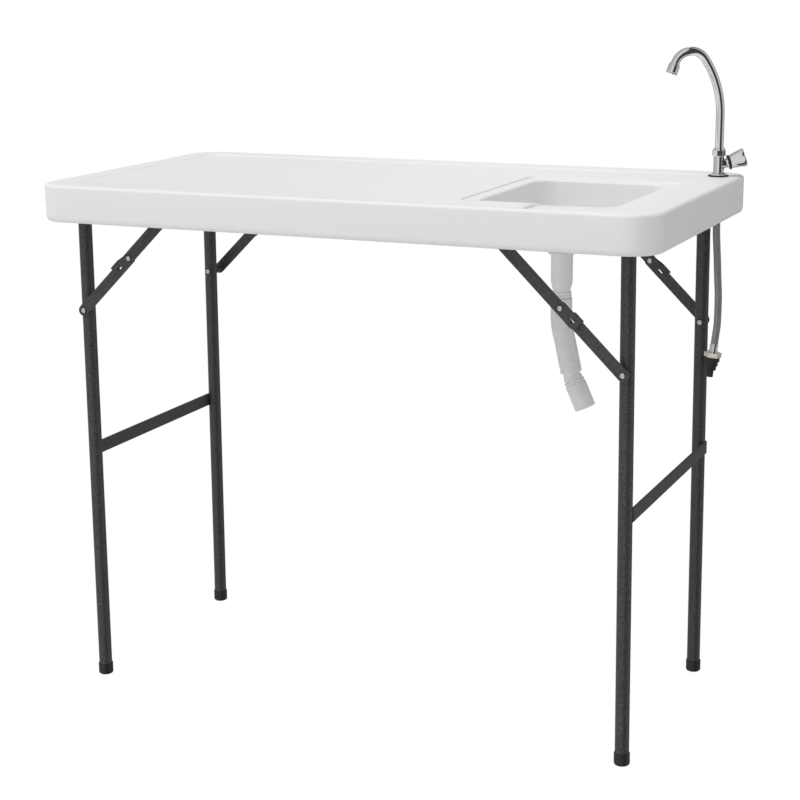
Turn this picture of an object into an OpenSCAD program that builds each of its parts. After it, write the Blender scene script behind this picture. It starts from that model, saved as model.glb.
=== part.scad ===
// Folding fish cleaning table with a moulded worktop, a sink, a faucet and a drain hose.
// Millimetres. The origin lies on the floor under the middle of the worktop.
// +X points to the sink end, +Y to the back and +Z up.
// Each end stands on a pair of tube legs that folds inwards under the worktop.
// The left pair pivots higher than the right pair, so they fold into two layers.

/* [Worktop] */
// Length of the worktop
top_l = 1130; // [1060:5:1300]
// Width of the worktop
top_w = 590; // [570:5:680]
// Height of the worktop's border above the floor
top_h = 935; // [900:5:960]
// Height of the skirt round the worktop
skirt_h = 65; // [60:1:80]
// Thickness of the skirt wall
skirt_t = 4; // [3:0.5:8]
// Thickness of the deck at its border
deck_t = 7.5; // [7:0.5:10]
// Radius of the worktop's upright corners
corner_r = 55; // [35:1:70]
// Depth of the work area below the border
work_drop = 2; // [1:0.5:2.5]
// Depth of the ledge round the sink below the border
ledge_drop = 4.5; // [3.5:0.5:5]
// Width of the raised border at the left end
border_w = 43; // [30:1:60]
// Width of the raised border along the front
border_front = 72; // [60:1:80]
// Width of the raised border along the back
border_back = 52; // [40:1:60]
// Corner radius of the raised and sunk areas
relief_r = 14; // [8:1:20]
// Height of the stiffening ribs under the deck
rib_h = 12; // [8:1:14]
// Thickness of the stiffening ribs
rib_t = 4; // [3:0.5:6]

/* [Sink] */
// Inside length of the sink along X
sink_l = 234; // [200:2:250]
// Inside width of the sink along Y
sink_w = 310; // [260:2:340]
// Depth of the sink floor below the border
sink_depth = 73; // [60:1:80]
// Wall thickness of the sink
sink_t = 4; // [3:0.5:6]
// Radius of the sink's upright corners
sink_r = 32; // [20:1:45]
// Distance from the sink to the right end of the worktop
sink_inset = 97; // [90:1:110]
// Width of the ledge to the left of the sink
ledge_w = 26; // [16:1:40]
// Width of the ledge to the right of the sink
ledge_end = 22; // [12:1:30]
// Distance from the sink's left wall to the drain
drain_x = 96; // [70:1:130]
// Distance from the sink's front wall to the drain
drain_y = 154; // [100:1:200]

/* [Leg frames] */
// Outer diameter of the leg tubes
leg_d = 24; // [22:0.5:28]
// Wall thickness of the leg tubes
leg_t = 1.5; // [1:0.1:2.5]
// Length of tube above the pivot
leg_over = 6; // [6:0.5:9]
// Outward lean of the legs, in degrees
splay = 0.4; // [0:0.02:1]
// Distance from the left end of the worktop to the left pivot
left_inset = 59; // [50:1:70]
// Distance from the right end of the worktop to the right pivot
right_inset = 64; // [58:1:70]
// Distance from the front edge to the left front leg
left_front_inset = 70; // [68:1:80]
// Distance from the back edge to the left back leg
left_back_inset = 88; // [80:1:100]
// Distance from the front edge to the right front leg
right_front_inset = 77; // [75:1:95]
// Distance from the back edge to the right back leg
right_back_inset = 71; // [68:1:82]
// Diameter of the pivot rods
rod_d = 10; // [8:0.5:12]
// Height of the crossbars above the floor
bar_z = 437; // [300:5:600]
// Height of the crossbar section
bar_h = 25; // [20:1:30]
// Thickness of the crossbar section
bar_t = 5; // [4:0.5:7]
// Depth that the crossbar is saddled onto the leg tubes
bar_saddle = 3; // [1:0.5:3.5]
// Distance from the front leg's centre line to the crossbar's front end
bar_front = 2; // [0:0.5:5]
// Length of crossbar past the back leg's centre line
bar_back = 6; // [4:1:11]
// Outer diameter of the foot caps
foot_d = 27; // [27:0.5:30]
// Height of the foot caps
foot_h = 21; // [15:1:30]
// Thickness of a foot cap's sole
foot_sole = 4; // [3:0.5:6]

/* [Braces] */
// Distance from the leg pivot to the brace bolt on the leg
brace_b = 205; // [180:5:230]
// Distance from the leg pivot to the brace pin on the rail
brace_c = 208; // [190:5:240]
// Width of the brace links
link_w = 20; // [17:0.5:22]
// Thickness of the brace links
link_t = 2.5; // [2:0.5:3]
// Length of the lock tail past the middle rivet
tail_l = 41; // [34:1:44]
// Height of the rivet and bolt heads between the links
head_t = 1.6; // [1:0.1:2.5]
// Diameter of the rivet and bolt shanks
shank_d = 8; // [6:0.5:9]
// Diameter of the rivet and bolt heads
head_d = 12; // [10:0.5:14]

/* [Rails] */
// Thickness of the rail steel
rail_t = 2.5; // [2:0.5:3]
// Width of the rail's top flange
rail_flange = 16; // [14:1:20]
// Distance from each end of the worktop to the rail's end
rail_inset = 30; // [28:1:40]
// Steel left below the lower pivot hole
rail_edge = 6; // [5:0.5:8]
// Screws along each rail
rail_screws_n = 6; // [4:1:8]
// Diameter of the rail screws
rail_screw_d = 4; // [3:0.5:5]

/* [Drain] */
// Outer diameter of the drain tail
tail_d = 32; // [28:1:34]
// Length of the drain tail below the sink floor
tail_drop = 66; // [50:1:70]
// Diameter of the drain flange in the sink
flange_d = 60; // [54:1:70]
// Outer diameter of the hose cuff on the tail
cuff_d = 37; // [36:0.5:44]
// Length of the hose cuff's collar
cuff_h = 53; // [44:1:60]
// Outer diameter of the drain hose over its ribs
hose_d = 37; // [35:0.5:40]
// Depth of the ribs
rib_depth = 1; // [0.6:0.1:1.6]
// Ribs along the drain hose
rib_n = 28; // [20:1:40]
// Bore of the drain hose
hose_bore = 27; // [24:1:27]
// Diameter of the cuffs' necks
neck_d = 29; // [28:0.5:31]
// Length of the upper cuff's neck
neck_h = 28; // [20:1:36]
// Outer diameter of the outlet cuff at its open end
outlet_d = 36.5; // [34:0.5:42]
// Bore of the outlet cuff
outlet_bore = 30; // [26:1:31]
// Length of the outlet cuff's open end
outlet_l = 60; // [40:1:70]
// Turn of the outlet cuff away from the hose, in degrees
outlet_turn = 12; // [0:1:15]

/* [Faucet] */
// Distance from the right end of the worktop to the faucet
faucet_inset = 40; // [38:1:46]
// Distance from the back edge to the faucet
faucet_back = 73; // [68:1:78]
// Diameter of the faucet gasket
gasket_d = 36; // [32:1:42]
// Diameter of the faucet body
body_d = 18.5; // [17:0.5:22]
// Height of the faucet body above the gasket
body_h = 34; // [30:1:44]
// Diameter of the threaded shank
stud_d = 20; // [18:0.5:21]
// Diameter of the spout tube
spout_d = 15; // [13:0.5:15]
// Wall thickness of the spout tube
spout_t = 1.2; // [0.8:0.1:2]
// Height of the spout's straight riser above the collar nut
riser_h = 57; // [40:1:80]
// Radius of the spout's slow bend
bend_r1 = 174; // [150:2:200]
// Turn of the slow bend, in degrees
bend_a1 = 34; // [25:1:40]
// Radius of the spout's tight bend
bend_r2 = 29; // [26:1:40]
// Turn of the whole spout, in degrees
bend_a2 = 163; // [150:1:180]
// Direction of the spout at rest, in degrees from +X
spout_az = 205; // [180:1:225]
// Diameter of the aerator
aerator_d = 20; // [19:0.5:24]
// Length of the aerator
aerator_l = 19; // [16:1:24]
// Direction of the valve, in degrees from +X
valve_az = 25; // [0:1:45]
// Upward tilt of the valve, in degrees
valve_tilt = 16; // [0:1:25]
// Height of the valve's axis above the gasket
valve_h = 17; // [14:1:20]
// Length of the knob
knob_l = 27; // [24:1:32]
// Diameter across the knob's open end
knob_d = 36; // [30:1:38]

/* [Supply hose] */
// Diameter of the supply hose
supply_d = 13; // [11:0.5:14]
// Length of each hose ferrule
ferrule_l = 16; // [12:1:20]
// Diameter across the coupling nut
coupling_d = 31; // [26:1:34]
// Length of the coupling nut
coupling_l = 8; // [7:1:14]
// Length of the hose connector
connector_l = 37; // [32:1:45]
// Diameter of the connector's free end
spigot_d = 12; // [11:0.5:14]

/* [Clearances] */
// Radial clearance of pins and rods in their holes
run_gap = 0.05; // [0.02:0.01:0.1]
// Gap between flat faces that pass each other
slip_gap = 0.2; // [0.2:0.05:0.4]
// Gap between the foot caps and the braces that they pass
pass_gap = 1.5; // [1:0.1:3]
// Gap between the two folded leg frames
frame_gap = 6; // [1:0.1:8]
// Gap between the leg tops and the deck when they turn
deck_gap = 4.6; // [3:0.1:6]
// Gap between the sink wall and the folded legs
sink_gap = 3.5; // [2:0.5:5]
// Gap of a fixed piece round its seat
seat_gap = 0.1; // [0.05:0.01:0.15]

/* [Hidden] */

// A side is -1 for the left frame and 1 for the right one.
left = -1;
right = 1;
front = -1;
back = 1;
fine = 64;
eps = 0.5;

under_z = top_h - deck_t;
skirt_z = top_h - skirt_h;
leg_r = leg_d / 2;
bar_out = leg_r - bar_saddle + bar_t;
left_z = under_z - sqrt(leg_r * leg_r + leg_over * leg_over) - deck_gap;
right_z = left_z - leg_r - bar_out - frame_gap;
left_x = -top_l / 2 + left_inset;
right_x = top_l / 2 - right_inset;
function pivot_x(side) = side == left ? left_x : right_x;
function pivot_z(side) = side == left ? left_z : right_z;
function leg_y(side, row) = side == left
    ? (row == front ? -top_w / 2 + left_front_inset : top_w / 2 - left_back_inset)
    : (row == front ? -top_w / 2 + right_front_inset : top_w / 2 - right_back_inset);
function leg_len(side) = pivot_z(side) / cos(splay);

// Brace planes, as distances from the middle of the table
widest = max([for (side = [left, right], row = [front, back]) abs(leg_y(side, row))]);
lower_y = widest + foot_d / 2 + pass_gap;
upper_y = lower_y + link_t + head_t + 3 * slip_gap;
web_y = upper_y + link_t + head_t + 4 * slip_gap;

// Brace triangle: A is the leg pivot, B the bolt on the leg and C the pin on the rail.
function point_a(side) = [pivot_x(side), pivot_z(side)];
function point_b(side) = point_a(side) + brace_b * [side * sin(splay), -cos(splay)];
function point_c(side) = point_a(side) - [side * brace_c, 0];
span = norm(point_c(left) - point_b(left));
upper_l = (span + brace_c - brace_b) / 2;
lower_l = (span - brace_c + brace_b) / 2;
function heading(p, q) = atan2(q[1] - p[1], q[0] - p[0]);
rail_z = right_z - rod_d / 2 - rail_edge;

// Sink and drain
sink_x1 = top_l / 2 - sink_inset;
sink_x0 = sink_x1 - sink_l;
sink_y0 = leg_y(right, front) + leg_r + sink_gap + sink_t;
sink_y1 = sink_y0 + sink_w;
floor_z = top_h - sink_depth;
drain_at = [sink_x0 + drain_x, sink_y0 + drain_y];
flange_t = 2.5;
tail_r = tail_d / 2;
drain_gasket_t = 3;
nut_z = floor_z - sink_t - drain_gasket_t;
drain_nut_h = 13;
cuff_bore = neck_d - 5;
cuff_top = nut_z - drain_nut_h - 11;
cuff_low = cuff_top - cuff_h;

// Faucet
faucet_at = [top_l / 2 - faucet_inset, top_w / 2 - faucet_back];
seat_z = top_h;
gasket_t = 2;
body_z = seat_z + gasket_t;
collar_h = 14;
collar_z = body_z + body_h;
stud_low = under_z - 42;
riser_z = collar_z + collar_h + riser_h;

// Each hose hangs from its fitting, and the points of its route are chosen by hand.
drain_drop = cuff_low - neck_h;
drain_route = [[0, 0, 0], [0, 0, -18], [0, 0, -36], [2.5, 0, -54], [7, 0, -72], [11, 0, -90],
    [15, 0, -108], [19, 0, -126]];
stud_fitting = 12;
supply_top = stud_low - stud_fitting - ferrule_l;
supply_route = [[0, 0, 0], [0, 0, -20], [2, -2, -44], [5, -6, -72], [8, -11, -102],
    [11, -15, -132], [12, -18, -162], [12, -20, -184], [10.5, -21, -201], [8.5, -21.5, -219]];
function last_point(route) = route[len(route) - 1];
function last_way(route) = unit(last_point(route) - route[len(route) - 2]);
function unit(v) = v / norm(v);

// A rectangle with true arcs at its corners
module round_rect(x0, y0, x1, y1, r) {
    translate([x0 + r, y0]) square([x1 - x0 - 2 * r, y1 - y0]);
    translate([x0, y0 + r]) square([x1 - x0, y1 - y0 - 2 * r]);
    for (x = [x0 + r, x1 - r], y = [y0 + r, y1 - r]) translate([x, y]) circle(r, $fn = fine);
}

module round_block(x0, y0, x1, y1, r, z0, z1) {
    translate([0, 0, z0]) linear_extrude(z1 - z0) round_rect(x0, y0, x1, y1, r);
}

module slab(inset, z0, z1) {
    x = top_l / 2 - inset;
    y = top_w / 2 - inset;
    round_block(-x, -y, x, y, corner_r - inset, z0, z1);
}

// A shaft along Y between two distances, drawn for the back and mirrored to the front
module shaft(row, y0, y1, d) {
    translate([0, min(row * y0, row * y1), 0])
        rotate([-90, 0, 0]) cylinder(h = y1 - y0, d = d, $fn = fine);
}

module at_pivot(side) {
    translate([pivot_x(side), 0, pivot_z(side)]) rotate([0, -side * splay, 0]) children();
}

// Places a link so that its length runs from p to q in the XZ plane
module along(p, q) {
    translate([p[0], 0, p[1]]) rotate([0, -heading(p, q), 0]) children();
}

// A flat plate that lies in the XZ plane between two distances from the middle
module plate(row, y0, t) {
    translate([0, row * (y0 + t / 2) + t / 2, 0]) rotate([90, 0, 0]) linear_extrude(t) children();
}

// The top's recesses, from the shallow work area to the ledge round the sink
module relief() {
    work_x0 = -top_l / 2 + border_w;
    ledge_x0 = sink_x0 - ledge_w;
    ledge_x1 = sink_x1 + ledge_end;
    lip_x0 = sink_x0 + sink_l / 2 - 4;
    round_block(work_x0, -top_w / 2 + border_front, ledge_x1 + 8, top_w / 2 - border_back,
        relief_r, top_h - work_drop, top_h + eps);
    round_block(ledge_x0, sink_y0 - 8, ledge_x1, sink_y1 + 18, relief_r,
        top_h - ledge_drop, top_h + eps);
    round_block(lip_x0, -top_w / 2 + 9, ledge_x1, sink_y0 + 2 * relief_r, relief_r / 2,
        top_h - ledge_drop, top_h + eps);
}

module basin(grow, z0, z1) {
    round_block(sink_x0 - grow, sink_y0 - grow, sink_x1 + grow, sink_y1 + grow,
        sink_r + grow, z0, z1);
}

// Ribs stay between the folded legs and clear of the crossbars.
module ribs() {
    rib_y = min(abs(leg_y(left, back)), abs(leg_y(right, front))) - leg_r - 16;
    rib_x0 = left_x + 38;
    rib_x1 = sink_x0 - sink_t - 12;
    cross_ribs = 5;
    for (y = [-rib_y, 0, rib_y]) translate([rib_x0, y - rib_t / 2, under_z - rib_h])
        cube([rib_x1 - rib_x0, rib_t, rib_h + eps]);
    for (i = [0 : cross_ribs - 1]) {
        x = rib_x0 + (rib_x1 - rib_x0 - rib_t) * i / (cross_ribs - 1);
        translate([x, -rib_y, under_z - rib_h]) cube([rib_t, 2 * rib_y, rib_h + eps]);
    }
}

screw_bite = deck_t - ledge_drop - 0.8;
screw_hole = screw_bite + 0.4;
function screw_x(i) = (-0.5 + (i + 0.5) / rail_screws_n) * (top_l - 2 * rail_inset);
screw_y = web_y + rail_t + (rail_flange - rail_t) / 2;
module each_screw() {
    for (i = [0 : rail_screws_n - 1], row = [front, back])
        translate([screw_x(i), row * screw_y, under_z - rail_t]) children();
}

module worktop() {
    color([0.91, 0.92, 0.91]) difference() {
        union() {
            difference() {
                slab(0, skirt_z, top_h);
                slab(skirt_t, skirt_z - eps, under_z);
            }
            basin(sink_t, floor_z - sink_t, under_z + eps);
            ribs();
        }
        relief();
        basin(0, floor_z, top_h + eps);
        translate([drain_at[0], drain_at[1], floor_z - sink_t - eps])
            cylinder(h = sink_t + 2 * eps, r = tail_r + seat_gap, $fn = fine);
        translate([faucet_at[0], faucet_at[1], under_z - eps])
            cylinder(h = deck_t + 2 * eps, r = stud_d / 2 + seat_gap, $fn = fine);
        each_screw() cylinder(h = rail_t + screw_hole, r = rail_screw_d / 2 + run_gap, $fn = 32);
    }
}

// An angle rail under one long side, which carries the pivot rods and the brace pins
module rail(row) {
    half = top_l / 2 - rail_inset;
    hole_r = rod_d / 2 + run_gap;
    difference() {
        union() {
            plate(row, web_y, rail_t) translate([-half, rail_z])
                square([2 * half, under_z - rail_z]);
            plate(row, web_y, rail_flange) translate([-half, under_z - rail_t])
                square([2 * half, rail_t]);
        }
        for (side = [left, right]) {
            translate([pivot_x(side), 0, pivot_z(side)])
                shaft(row, web_y - eps, web_y + rail_t + eps, 2 * hole_r);
            translate([point_c(side)[0], 0, point_c(side)[1]])
                shaft(row, web_y - eps, web_y + rail_t + eps, shank_d + 2 * run_gap);
        }
        each_screw() translate([0, 0, -eps])
            cylinder(h = rail_t + 2 * eps, r = rail_screw_d / 2 + seat_gap, $fn = 32);
    }
}

module rail_screws() {
    head_w = 8;
    head_h = 2.4;
    cross_l = 4.8;
    cross_w = 1;
    color([0.72, 0.73, 0.75]) each_screw() {
        cylinder(h = rail_t + screw_bite, d = rail_screw_d, $fn = 32);
        translate([0, 0, -head_h]) difference() {
            cylinder(h = head_h, d = head_w, $fn = 32);
            for (a = [0, 90]) rotate([0, 0, a]) translate([-cross_l / 2, -cross_w / 2, -eps])
                cube([cross_l, cross_w, head_h / 2]);
        }
    }
}

module leg(side, row) {
    y = leg_y(side, row);
    len_down = leg_len(side) - foot_sole;
    color([0.24, 0.25, 0.24]) at_pivot(side) translate([0, y, 0]) difference() {
        translate([0, 0, -len_down]) cylinder(h = len_down + leg_over, d = leg_d, $fn = fine);
        translate([0, 0, -len_down - eps])
            cylinder(h = len_down + leg_over + 2 * eps, r = leg_r - leg_t, $fn = fine);
        shaft(back, -leg_r - eps, leg_r + eps, rod_d + 2 * run_gap);
        translate([0, 0, -brace_b])
            shaft(back, -leg_r - eps, leg_r + eps, shank_d + 2 * run_gap);
    }
}

// A foot cap, cut level with the floor under the leaning tube
module foot(side, row) {
    lean = foot_d * sin(splay);
    cap_r = foot_d / 2;
    fillet = 4;
    color([0.07, 0.07, 0.07]) difference() {
        at_pivot(side) translate([0, leg_y(side, row), -leg_len(side)]) difference() {
            union() {
                translate([0, 0, fillet]) cylinder(h = foot_h - fillet, r = cap_r, $fn = fine);
                translate([0, 0, -lean]) cylinder(h = fillet + lean, r = cap_r - fillet, $fn = fine);
                translate([0, 0, fillet]) rotate_extrude($fn = fine)
                    translate([cap_r - fillet, 0]) circle(fillet, $fn = 32);
            }
            translate([0, 0, foot_sole]) cylinder(h = foot_h, r = leg_r + run_gap, $fn = fine);
        }
        translate([pivot_x(side) + side * 8 - foot_d, leg_y(side, row) - foot_d, -10])
            cube([2 * foot_d, 2 * foot_d, 10]);
    }
}

// A flat bar with round edges, saddled onto the outer side of both leg tubes
module crossbar(side) {
    down = (pivot_z(side) - bar_z) / cos(splay);
    y0 = leg_y(side, front) + bar_front;
    y1 = leg_y(side, back) + bar_back;
    x_mid = side * (bar_out - bar_t / 2);
    color([0.3, 0.31, 0.31]) at_pivot(side) difference() {
        translate([x_mid, y1, -down]) rotate([90, 0, 0]) linear_extrude(y1 - y0) {
            translate([-bar_t / 2, -(bar_h - bar_t) / 2]) square([bar_t, bar_h - bar_t]);
            for (z = [-1, 1]) translate([0, z * (bar_h - bar_t) / 2])
                circle(bar_t / 2, $fn = 32);
        }
        for (row = [front, back]) translate([0, leg_y(side, row), -down - bar_h])
            cylinder(h = 2 * bar_h, r = leg_r, $fn = fine);
    }
}

rod_end = web_y + rail_t + slip_gap;
cap_t = 4;
module pivot_rod(side) {
    color([0.7, 0.71, 0.73]) at_pivot(side)
        shaft(back, -rod_end - cap_t + 1, rod_end + cap_t - 1, rod_d);
}

// Push-on caps that hold the rod in the rails
module pivot_caps(side) {
    color([0.1, 0.1, 0.1]) at_pivot(side) for (row = [front, back]) difference() {
        shaft(row, rod_end, rod_end + cap_t, rod_d + 7);
        shaft(row, rod_end - eps, rod_end + cap_t - 1, rod_d + 2 * run_gap);
    }
}

// Sleeves that keep the legs in the middle between the rails
module pivot_spacers(side) {
    color([0.85, 0.86, 0.85]) at_pivot(side) for (row = [front, back]) difference() {
        shaft(row, row * leg_y(side, row) + leg_r - 1.2, web_y - slip_gap, rod_d + 6);
        shaft(row, row * leg_y(side, row), web_y, rod_d + 2 * run_gap);
        translate([0, leg_y(side, row), -leg_d]) cylinder(h = 2 * leg_d, r = leg_r, $fn = fine);
    }
}

// Bolts through the legs, which carry the lower links
module brace_bolts(side) {
    color([0.78, 0.79, 0.8]) at_pivot(side) for (row = [front, back])
        translate([0, 0, -brace_b]) difference() {
            y = row * leg_y(side, row);
            union() {
                shaft(row, y - leg_r - 2, lower_y + link_t + slip_gap, shank_d);
                shaft(row, y - leg_r - 2.2, y - leg_r + 1.2, head_d);
                shaft(row, lower_y + link_t + slip_gap, lower_y + link_t + slip_gap + head_t, head_d);
            }
            difference() {
                translate([0, row * y, -leg_d]) cylinder(h = 2 * leg_d, r = leg_r, $fn = fine);
                shaft(row, y - leg_d, y + leg_d, shank_d);
            }
        }
}

module brace_spacers(side) {
    color([0.3, 0.31, 0.31]) at_pivot(side) for (row = [front, back])
        translate([0, 0, -brace_b]) difference() {
            y = row * leg_y(side, row);
            shaft(row, y + leg_r - 1.2, lower_y - slip_gap, shank_d + 8);
            shaft(row, y, lower_y + eps, shank_d + 2 * run_gap);
            translate([0, row * y, -leg_d]) cylinder(h = 2 * leg_d, r = leg_r, $fn = fine);
        }
}

// Outline of a link with round ends and its two pivot holes
module link_outline(length, w) {
    difference() {
        union() {
            translate([0, -w / 2]) square([length, w]);
            for (x = [0, length]) translate([x, 0]) circle(w / 2, $fn = fine);
        }
        for (x = [0, length]) translate([x, 0]) circle(shank_d / 2 + run_gap, $fn = fine);
    }
}

// A slot through both links takes the lock ring
module lock_slot() {
    slot_l = 10;
    slot_w = 4;
    translate([tail_l - 19, -slot_w / 2]) square([slot_l, slot_w]);
}

module lower_link(side, row) {
    dimple_r = 2.4;
    dimple_t = 1.5;
    color([0.26, 0.27, 0.26]) along(point_b(side), point_c(side))
        difference() {
            plate(row, lower_y, link_t) difference() {
                link_outline(lower_l, link_w);
                translate([lower_l, 0]) mirror([1, 0]) lock_slot();
            }
            translate([lower_l - tail_l - 3.5, 0, 0])
                shaft(row, lower_y + link_t - dimple_t, lower_y + link_t + eps, 2 * dimple_r);
        }
}

// The upper link runs past the middle rivet as a lock tail. A tab bent over the edge of
// the lower link stops the brace from opening past straight.
module upper_link(side, row) {
    tail_x = upper_l + tail_l;
    tab_l = 20;
    edge = link_w / 2 + slip_gap;
    color([0.26, 0.27, 0.26]) along(point_c(side), point_b(side)) {
        plate(row, upper_y, link_t) difference() {
            union() {
                link_outline(upper_l, link_w);
                scale([1, side]) polygon([[upper_l, -link_w / 2], [tail_x - 6, -link_w / 2],
                    [tail_x, -link_w / 2 + 6], [tail_x, edge + link_t],
                    [tail_x - tab_l, edge + link_t], [upper_l + 6, link_w / 2],
                    [upper_l, link_w / 2]]);
            }
            translate([upper_l, 0]) circle(shank_d / 2 + run_gap, $fn = fine);
            translate([upper_l, 0]) lock_slot();
        }
        plate(row, lower_y + slip_gap, upper_y - lower_y) scale([1, side])
            translate([tail_x - tab_l, edge]) square([tab_l, link_t]);
    }
}

// Rivets held by the upper links, with a spacer washer between the links
module middle_rivets(side) {
    head_y = upper_y + link_t;
    color([0.8, 0.8, 0.78]) along(point_c(side), point_b(side)) for (row = [front, back])
        translate([upper_l, 0, 0]) {
            shaft(row, lower_y + link_t + slip_gap, upper_y - slip_gap / 2, head_d + 2);
            shaft(row, upper_y - slip_gap / 2, head_y + slip_gap, shank_d);
            shaft(row, head_y + slip_gap / 4, head_y + slip_gap / 4 + head_t, head_d);
        }
}

// The peened ends of the same rivets, held by the lower links
module rivet_tails(side) {
    color([0.8, 0.8, 0.78]) along(point_b(side), point_c(side)) for (row = [front, back])
        translate([lower_l, 0, 0]) {
            shaft(row, lower_y - slip_gap / 4, lower_y + link_t, shank_d);
            shaft(row, lower_y - slip_gap / 4 - 0.7, lower_y - slip_gap / 4, head_d);
        }
}

// Shoulder pins on the rails, which carry the upper links
module link_pins(side) {
    color([0.7, 0.71, 0.73]) translate([point_c(side)[0], 0, point_c(side)[1]])
        for (row = [front, back]) {
            shaft(row, upper_y - slip_gap / 2, web_y + rail_t, shank_d);
            shaft(row, upper_y + link_t + slip_gap, web_y, head_d + 2);
            shaft(row, web_y + rail_t, web_y + rail_t + 2, head_d);
        }
}

module at_drain(z) {
    translate([drain_at[0], drain_at[1], z]) children();
}

// Drain flange with its grid and the threaded tail below it
module drain_flange() {
    bore_r = tail_r - 2.5;
    grid_r = 2.6;
    grid_t = 3;
    color([0.75, 0.76, 0.77]) at_drain(floor_z) difference() {
        union() {
            cylinder(h = flange_t, d = flange_d, $fn = fine);
            translate([0, 0, -tail_drop]) cylinder(h = tail_drop + eps, r = tail_r, $fn = fine);
        }
        translate([0, 0, 1]) cylinder(h = flange_t, r = bore_r + 4, $fn = fine);
        translate([0, 0, -tail_drop - eps])
            cylinder(h = tail_drop - grid_t + eps, r = bore_r, $fn = fine);
        for (a = [0 : 60 : 300]) rotate([0, 0, a]) translate([bore_r * 0.62, 0, -grid_t - 2])
            cylinder(h = 3 * grid_t, r = grid_r, $fn = 32);
        translate([0, 0, -grid_t - 2]) cylinder(h = 3 * grid_t, r = grid_r, $fn = 32);
    }
}

module drain_gasket() {
    color([0.1, 0.1, 0.1]) at_drain(nut_z) difference() {
        cylinder(h = drain_gasket_t, r = tail_r + 11, $fn = fine);
        translate([0, 0, -eps])
            cylinder(h = drain_gasket_t + 2 * eps, r = tail_r + seat_gap, $fn = fine);
    }
}

module drain_nut() {
    lugs = 8;
    color([0.85, 0.86, 0.85]) at_drain(nut_z - drain_nut_h) difference() {
        union() {
            cylinder(h = drain_nut_h, r = tail_r + 9, $fn = fine);
            for (i = [0 : lugs - 1]) rotate([0, 0, i * 360 / lugs])
                translate([tail_r + 6, -3, 0]) cube([6, 6, drain_nut_h]);
        }
        translate([0, 0, -eps])
            cylinder(h = drain_nut_h + 2 * eps, r = tail_r + seat_gap, $fn = fine);
    }
}

// The hose's upper cuff, pushed over the drain tail
module drain_cuff() {
    taper = 14;
    ring_h = 9;
    lip_h = 4;
    lip_out = 5.5;
    color([0.86, 0.87, 0.85]) at_drain(cuff_low) difference() {
        union() {
            cylinder(h = cuff_h, d = cuff_d, $fn = fine);
            translate([0, 0, cuff_h - lip_h])
                cylinder(h = lip_h, r = cuff_d / 2 + lip_out, $fn = fine);
            translate([0, 0, -taper]) cylinder(h = taper, d1 = neck_d, d2 = cuff_d, $fn = fine);
            translate([0, 0, -neck_h]) cylinder(h = neck_h, d = neck_d, $fn = fine);
            translate([0, 0, 2 - neck_h]) cylinder(h = ring_h, d = hose_d - 3, $fn = fine);
        }
        translate([0, 0, 3]) cylinder(h = cuff_h, r = tail_r + seat_gap, $fn = fine);
        translate([0, 0, -neck_h - eps]) cylinder(h = neck_h + 5, d = cuff_bore, $fn = fine);
    }
}

// A sweep along a route: a point and a direction at any distance s from its start
function steps(route) = [for (i = [1 : len(route) - 1]) norm(route[i] - route[i - 1])];
function total(list, i = 0) = i >= len(list) ? 0 : list[i] + total(list, i + 1);
function leg_of(list, s, i = 0) =
    i >= len(list) - 1 || s <= list[i] ? [i, s] : leg_of(list, s - list[i], i + 1);
function way(route, i) = unit(route[i + 1] - route[i]);
function knee(route, i) = i <= 0 ? way(route, 0)
    : i >= len(route) - 1 ? last_way(route) : unit(way(route, i - 1) + way(route, i));
function place(route, s) =
    let (hit = leg_of(steps(route), s), i = hit[0]) route[i] + way(route, i) * hit[1];
function heading_at(route, s) =
    let (hit = leg_of(steps(route), s), i = hit[0], t = hit[1] / norm(route[i + 1] - route[i]))
    unit(knee(route, i) * (1 - t) + knee(route, i + 1) * t);
function ring(route, s, r, sides) =
    let (p = place(route, s), d = heading_at(route, s), u = unit(cross(d, [0, 1, 0])),
        v = cross(u, d))
    [for (k = [0 : sides - 1]) p + r * (cos(360 * k / sides) * u + sin(360 * k / sides) * v)];
function quad(a, b, c, d) = [[a, b, c], [a, c, d]];
function skin(rings, sides, base, flip) = [for (i = [0 : rings - 2], k = [0 : sides - 1])
    let (a = base + i * sides + k, b = base + i * sides + (k + 1) % sides)
    each (flip ? quad(a, a + sides, b + sides, b) : quad(a, b, b + sides, a + sides))];

// A solid tube closed with a fan at each end
module solid_tube(route, r, sides, n) {
    far = total(steps(route));
    rings = [for (i = [0 : n - 1]) each ring(route, far * i / (n - 1), r, sides)];
    last = (n - 1) * sides;
    near_fan = [for (k = [1 : sides - 2]) [0, k + 1, k]];
    far_fan = [for (k = [1 : sides - 2]) [last, last + k, last + k + 1]];
    polyhedron(rings, concat(skin(n, sides, 0, false), near_fan, far_fan), convexity = 4);
}

// A ribbed hose with its bore: each rib is a high ring and a low ring.
module ribbed_tube(route, r, depth, bore_r, n, sides) {
    far = total(steps(route));
    outer_n = 2 * n + 1;
    outer = [for (i = [0 : outer_n - 1])
        each ring(route, far * i / (outer_n - 1), i % 2 == 0 ? r : r - depth, sides)];
    inner_n = len(route);
    inner = [for (i = [0 : inner_n - 1])
        each ring(route, far * i / (inner_n - 1), bore_r, sides)];
    base = outer_n * sides;
    last_out = (outer_n - 1) * sides;
    last_in = base + (inner_n - 1) * sides;
    near_rim = [for (k = [0 : sides - 1]) let (j = (k + 1) % sides)
        each quad(base + k, base + j, j, k)];
    far_rim = [for (k = [0 : sides - 1]) let (j = (k + 1) % sides)
        each quad(last_out + k, last_out + j, last_in + j, last_in + k)];
    polyhedron(concat(outer, inner), concat(skin(outer_n, sides, 0, false),
        skin(inner_n, sides, base, true), near_rim, far_rim), convexity = 6);
}

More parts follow.
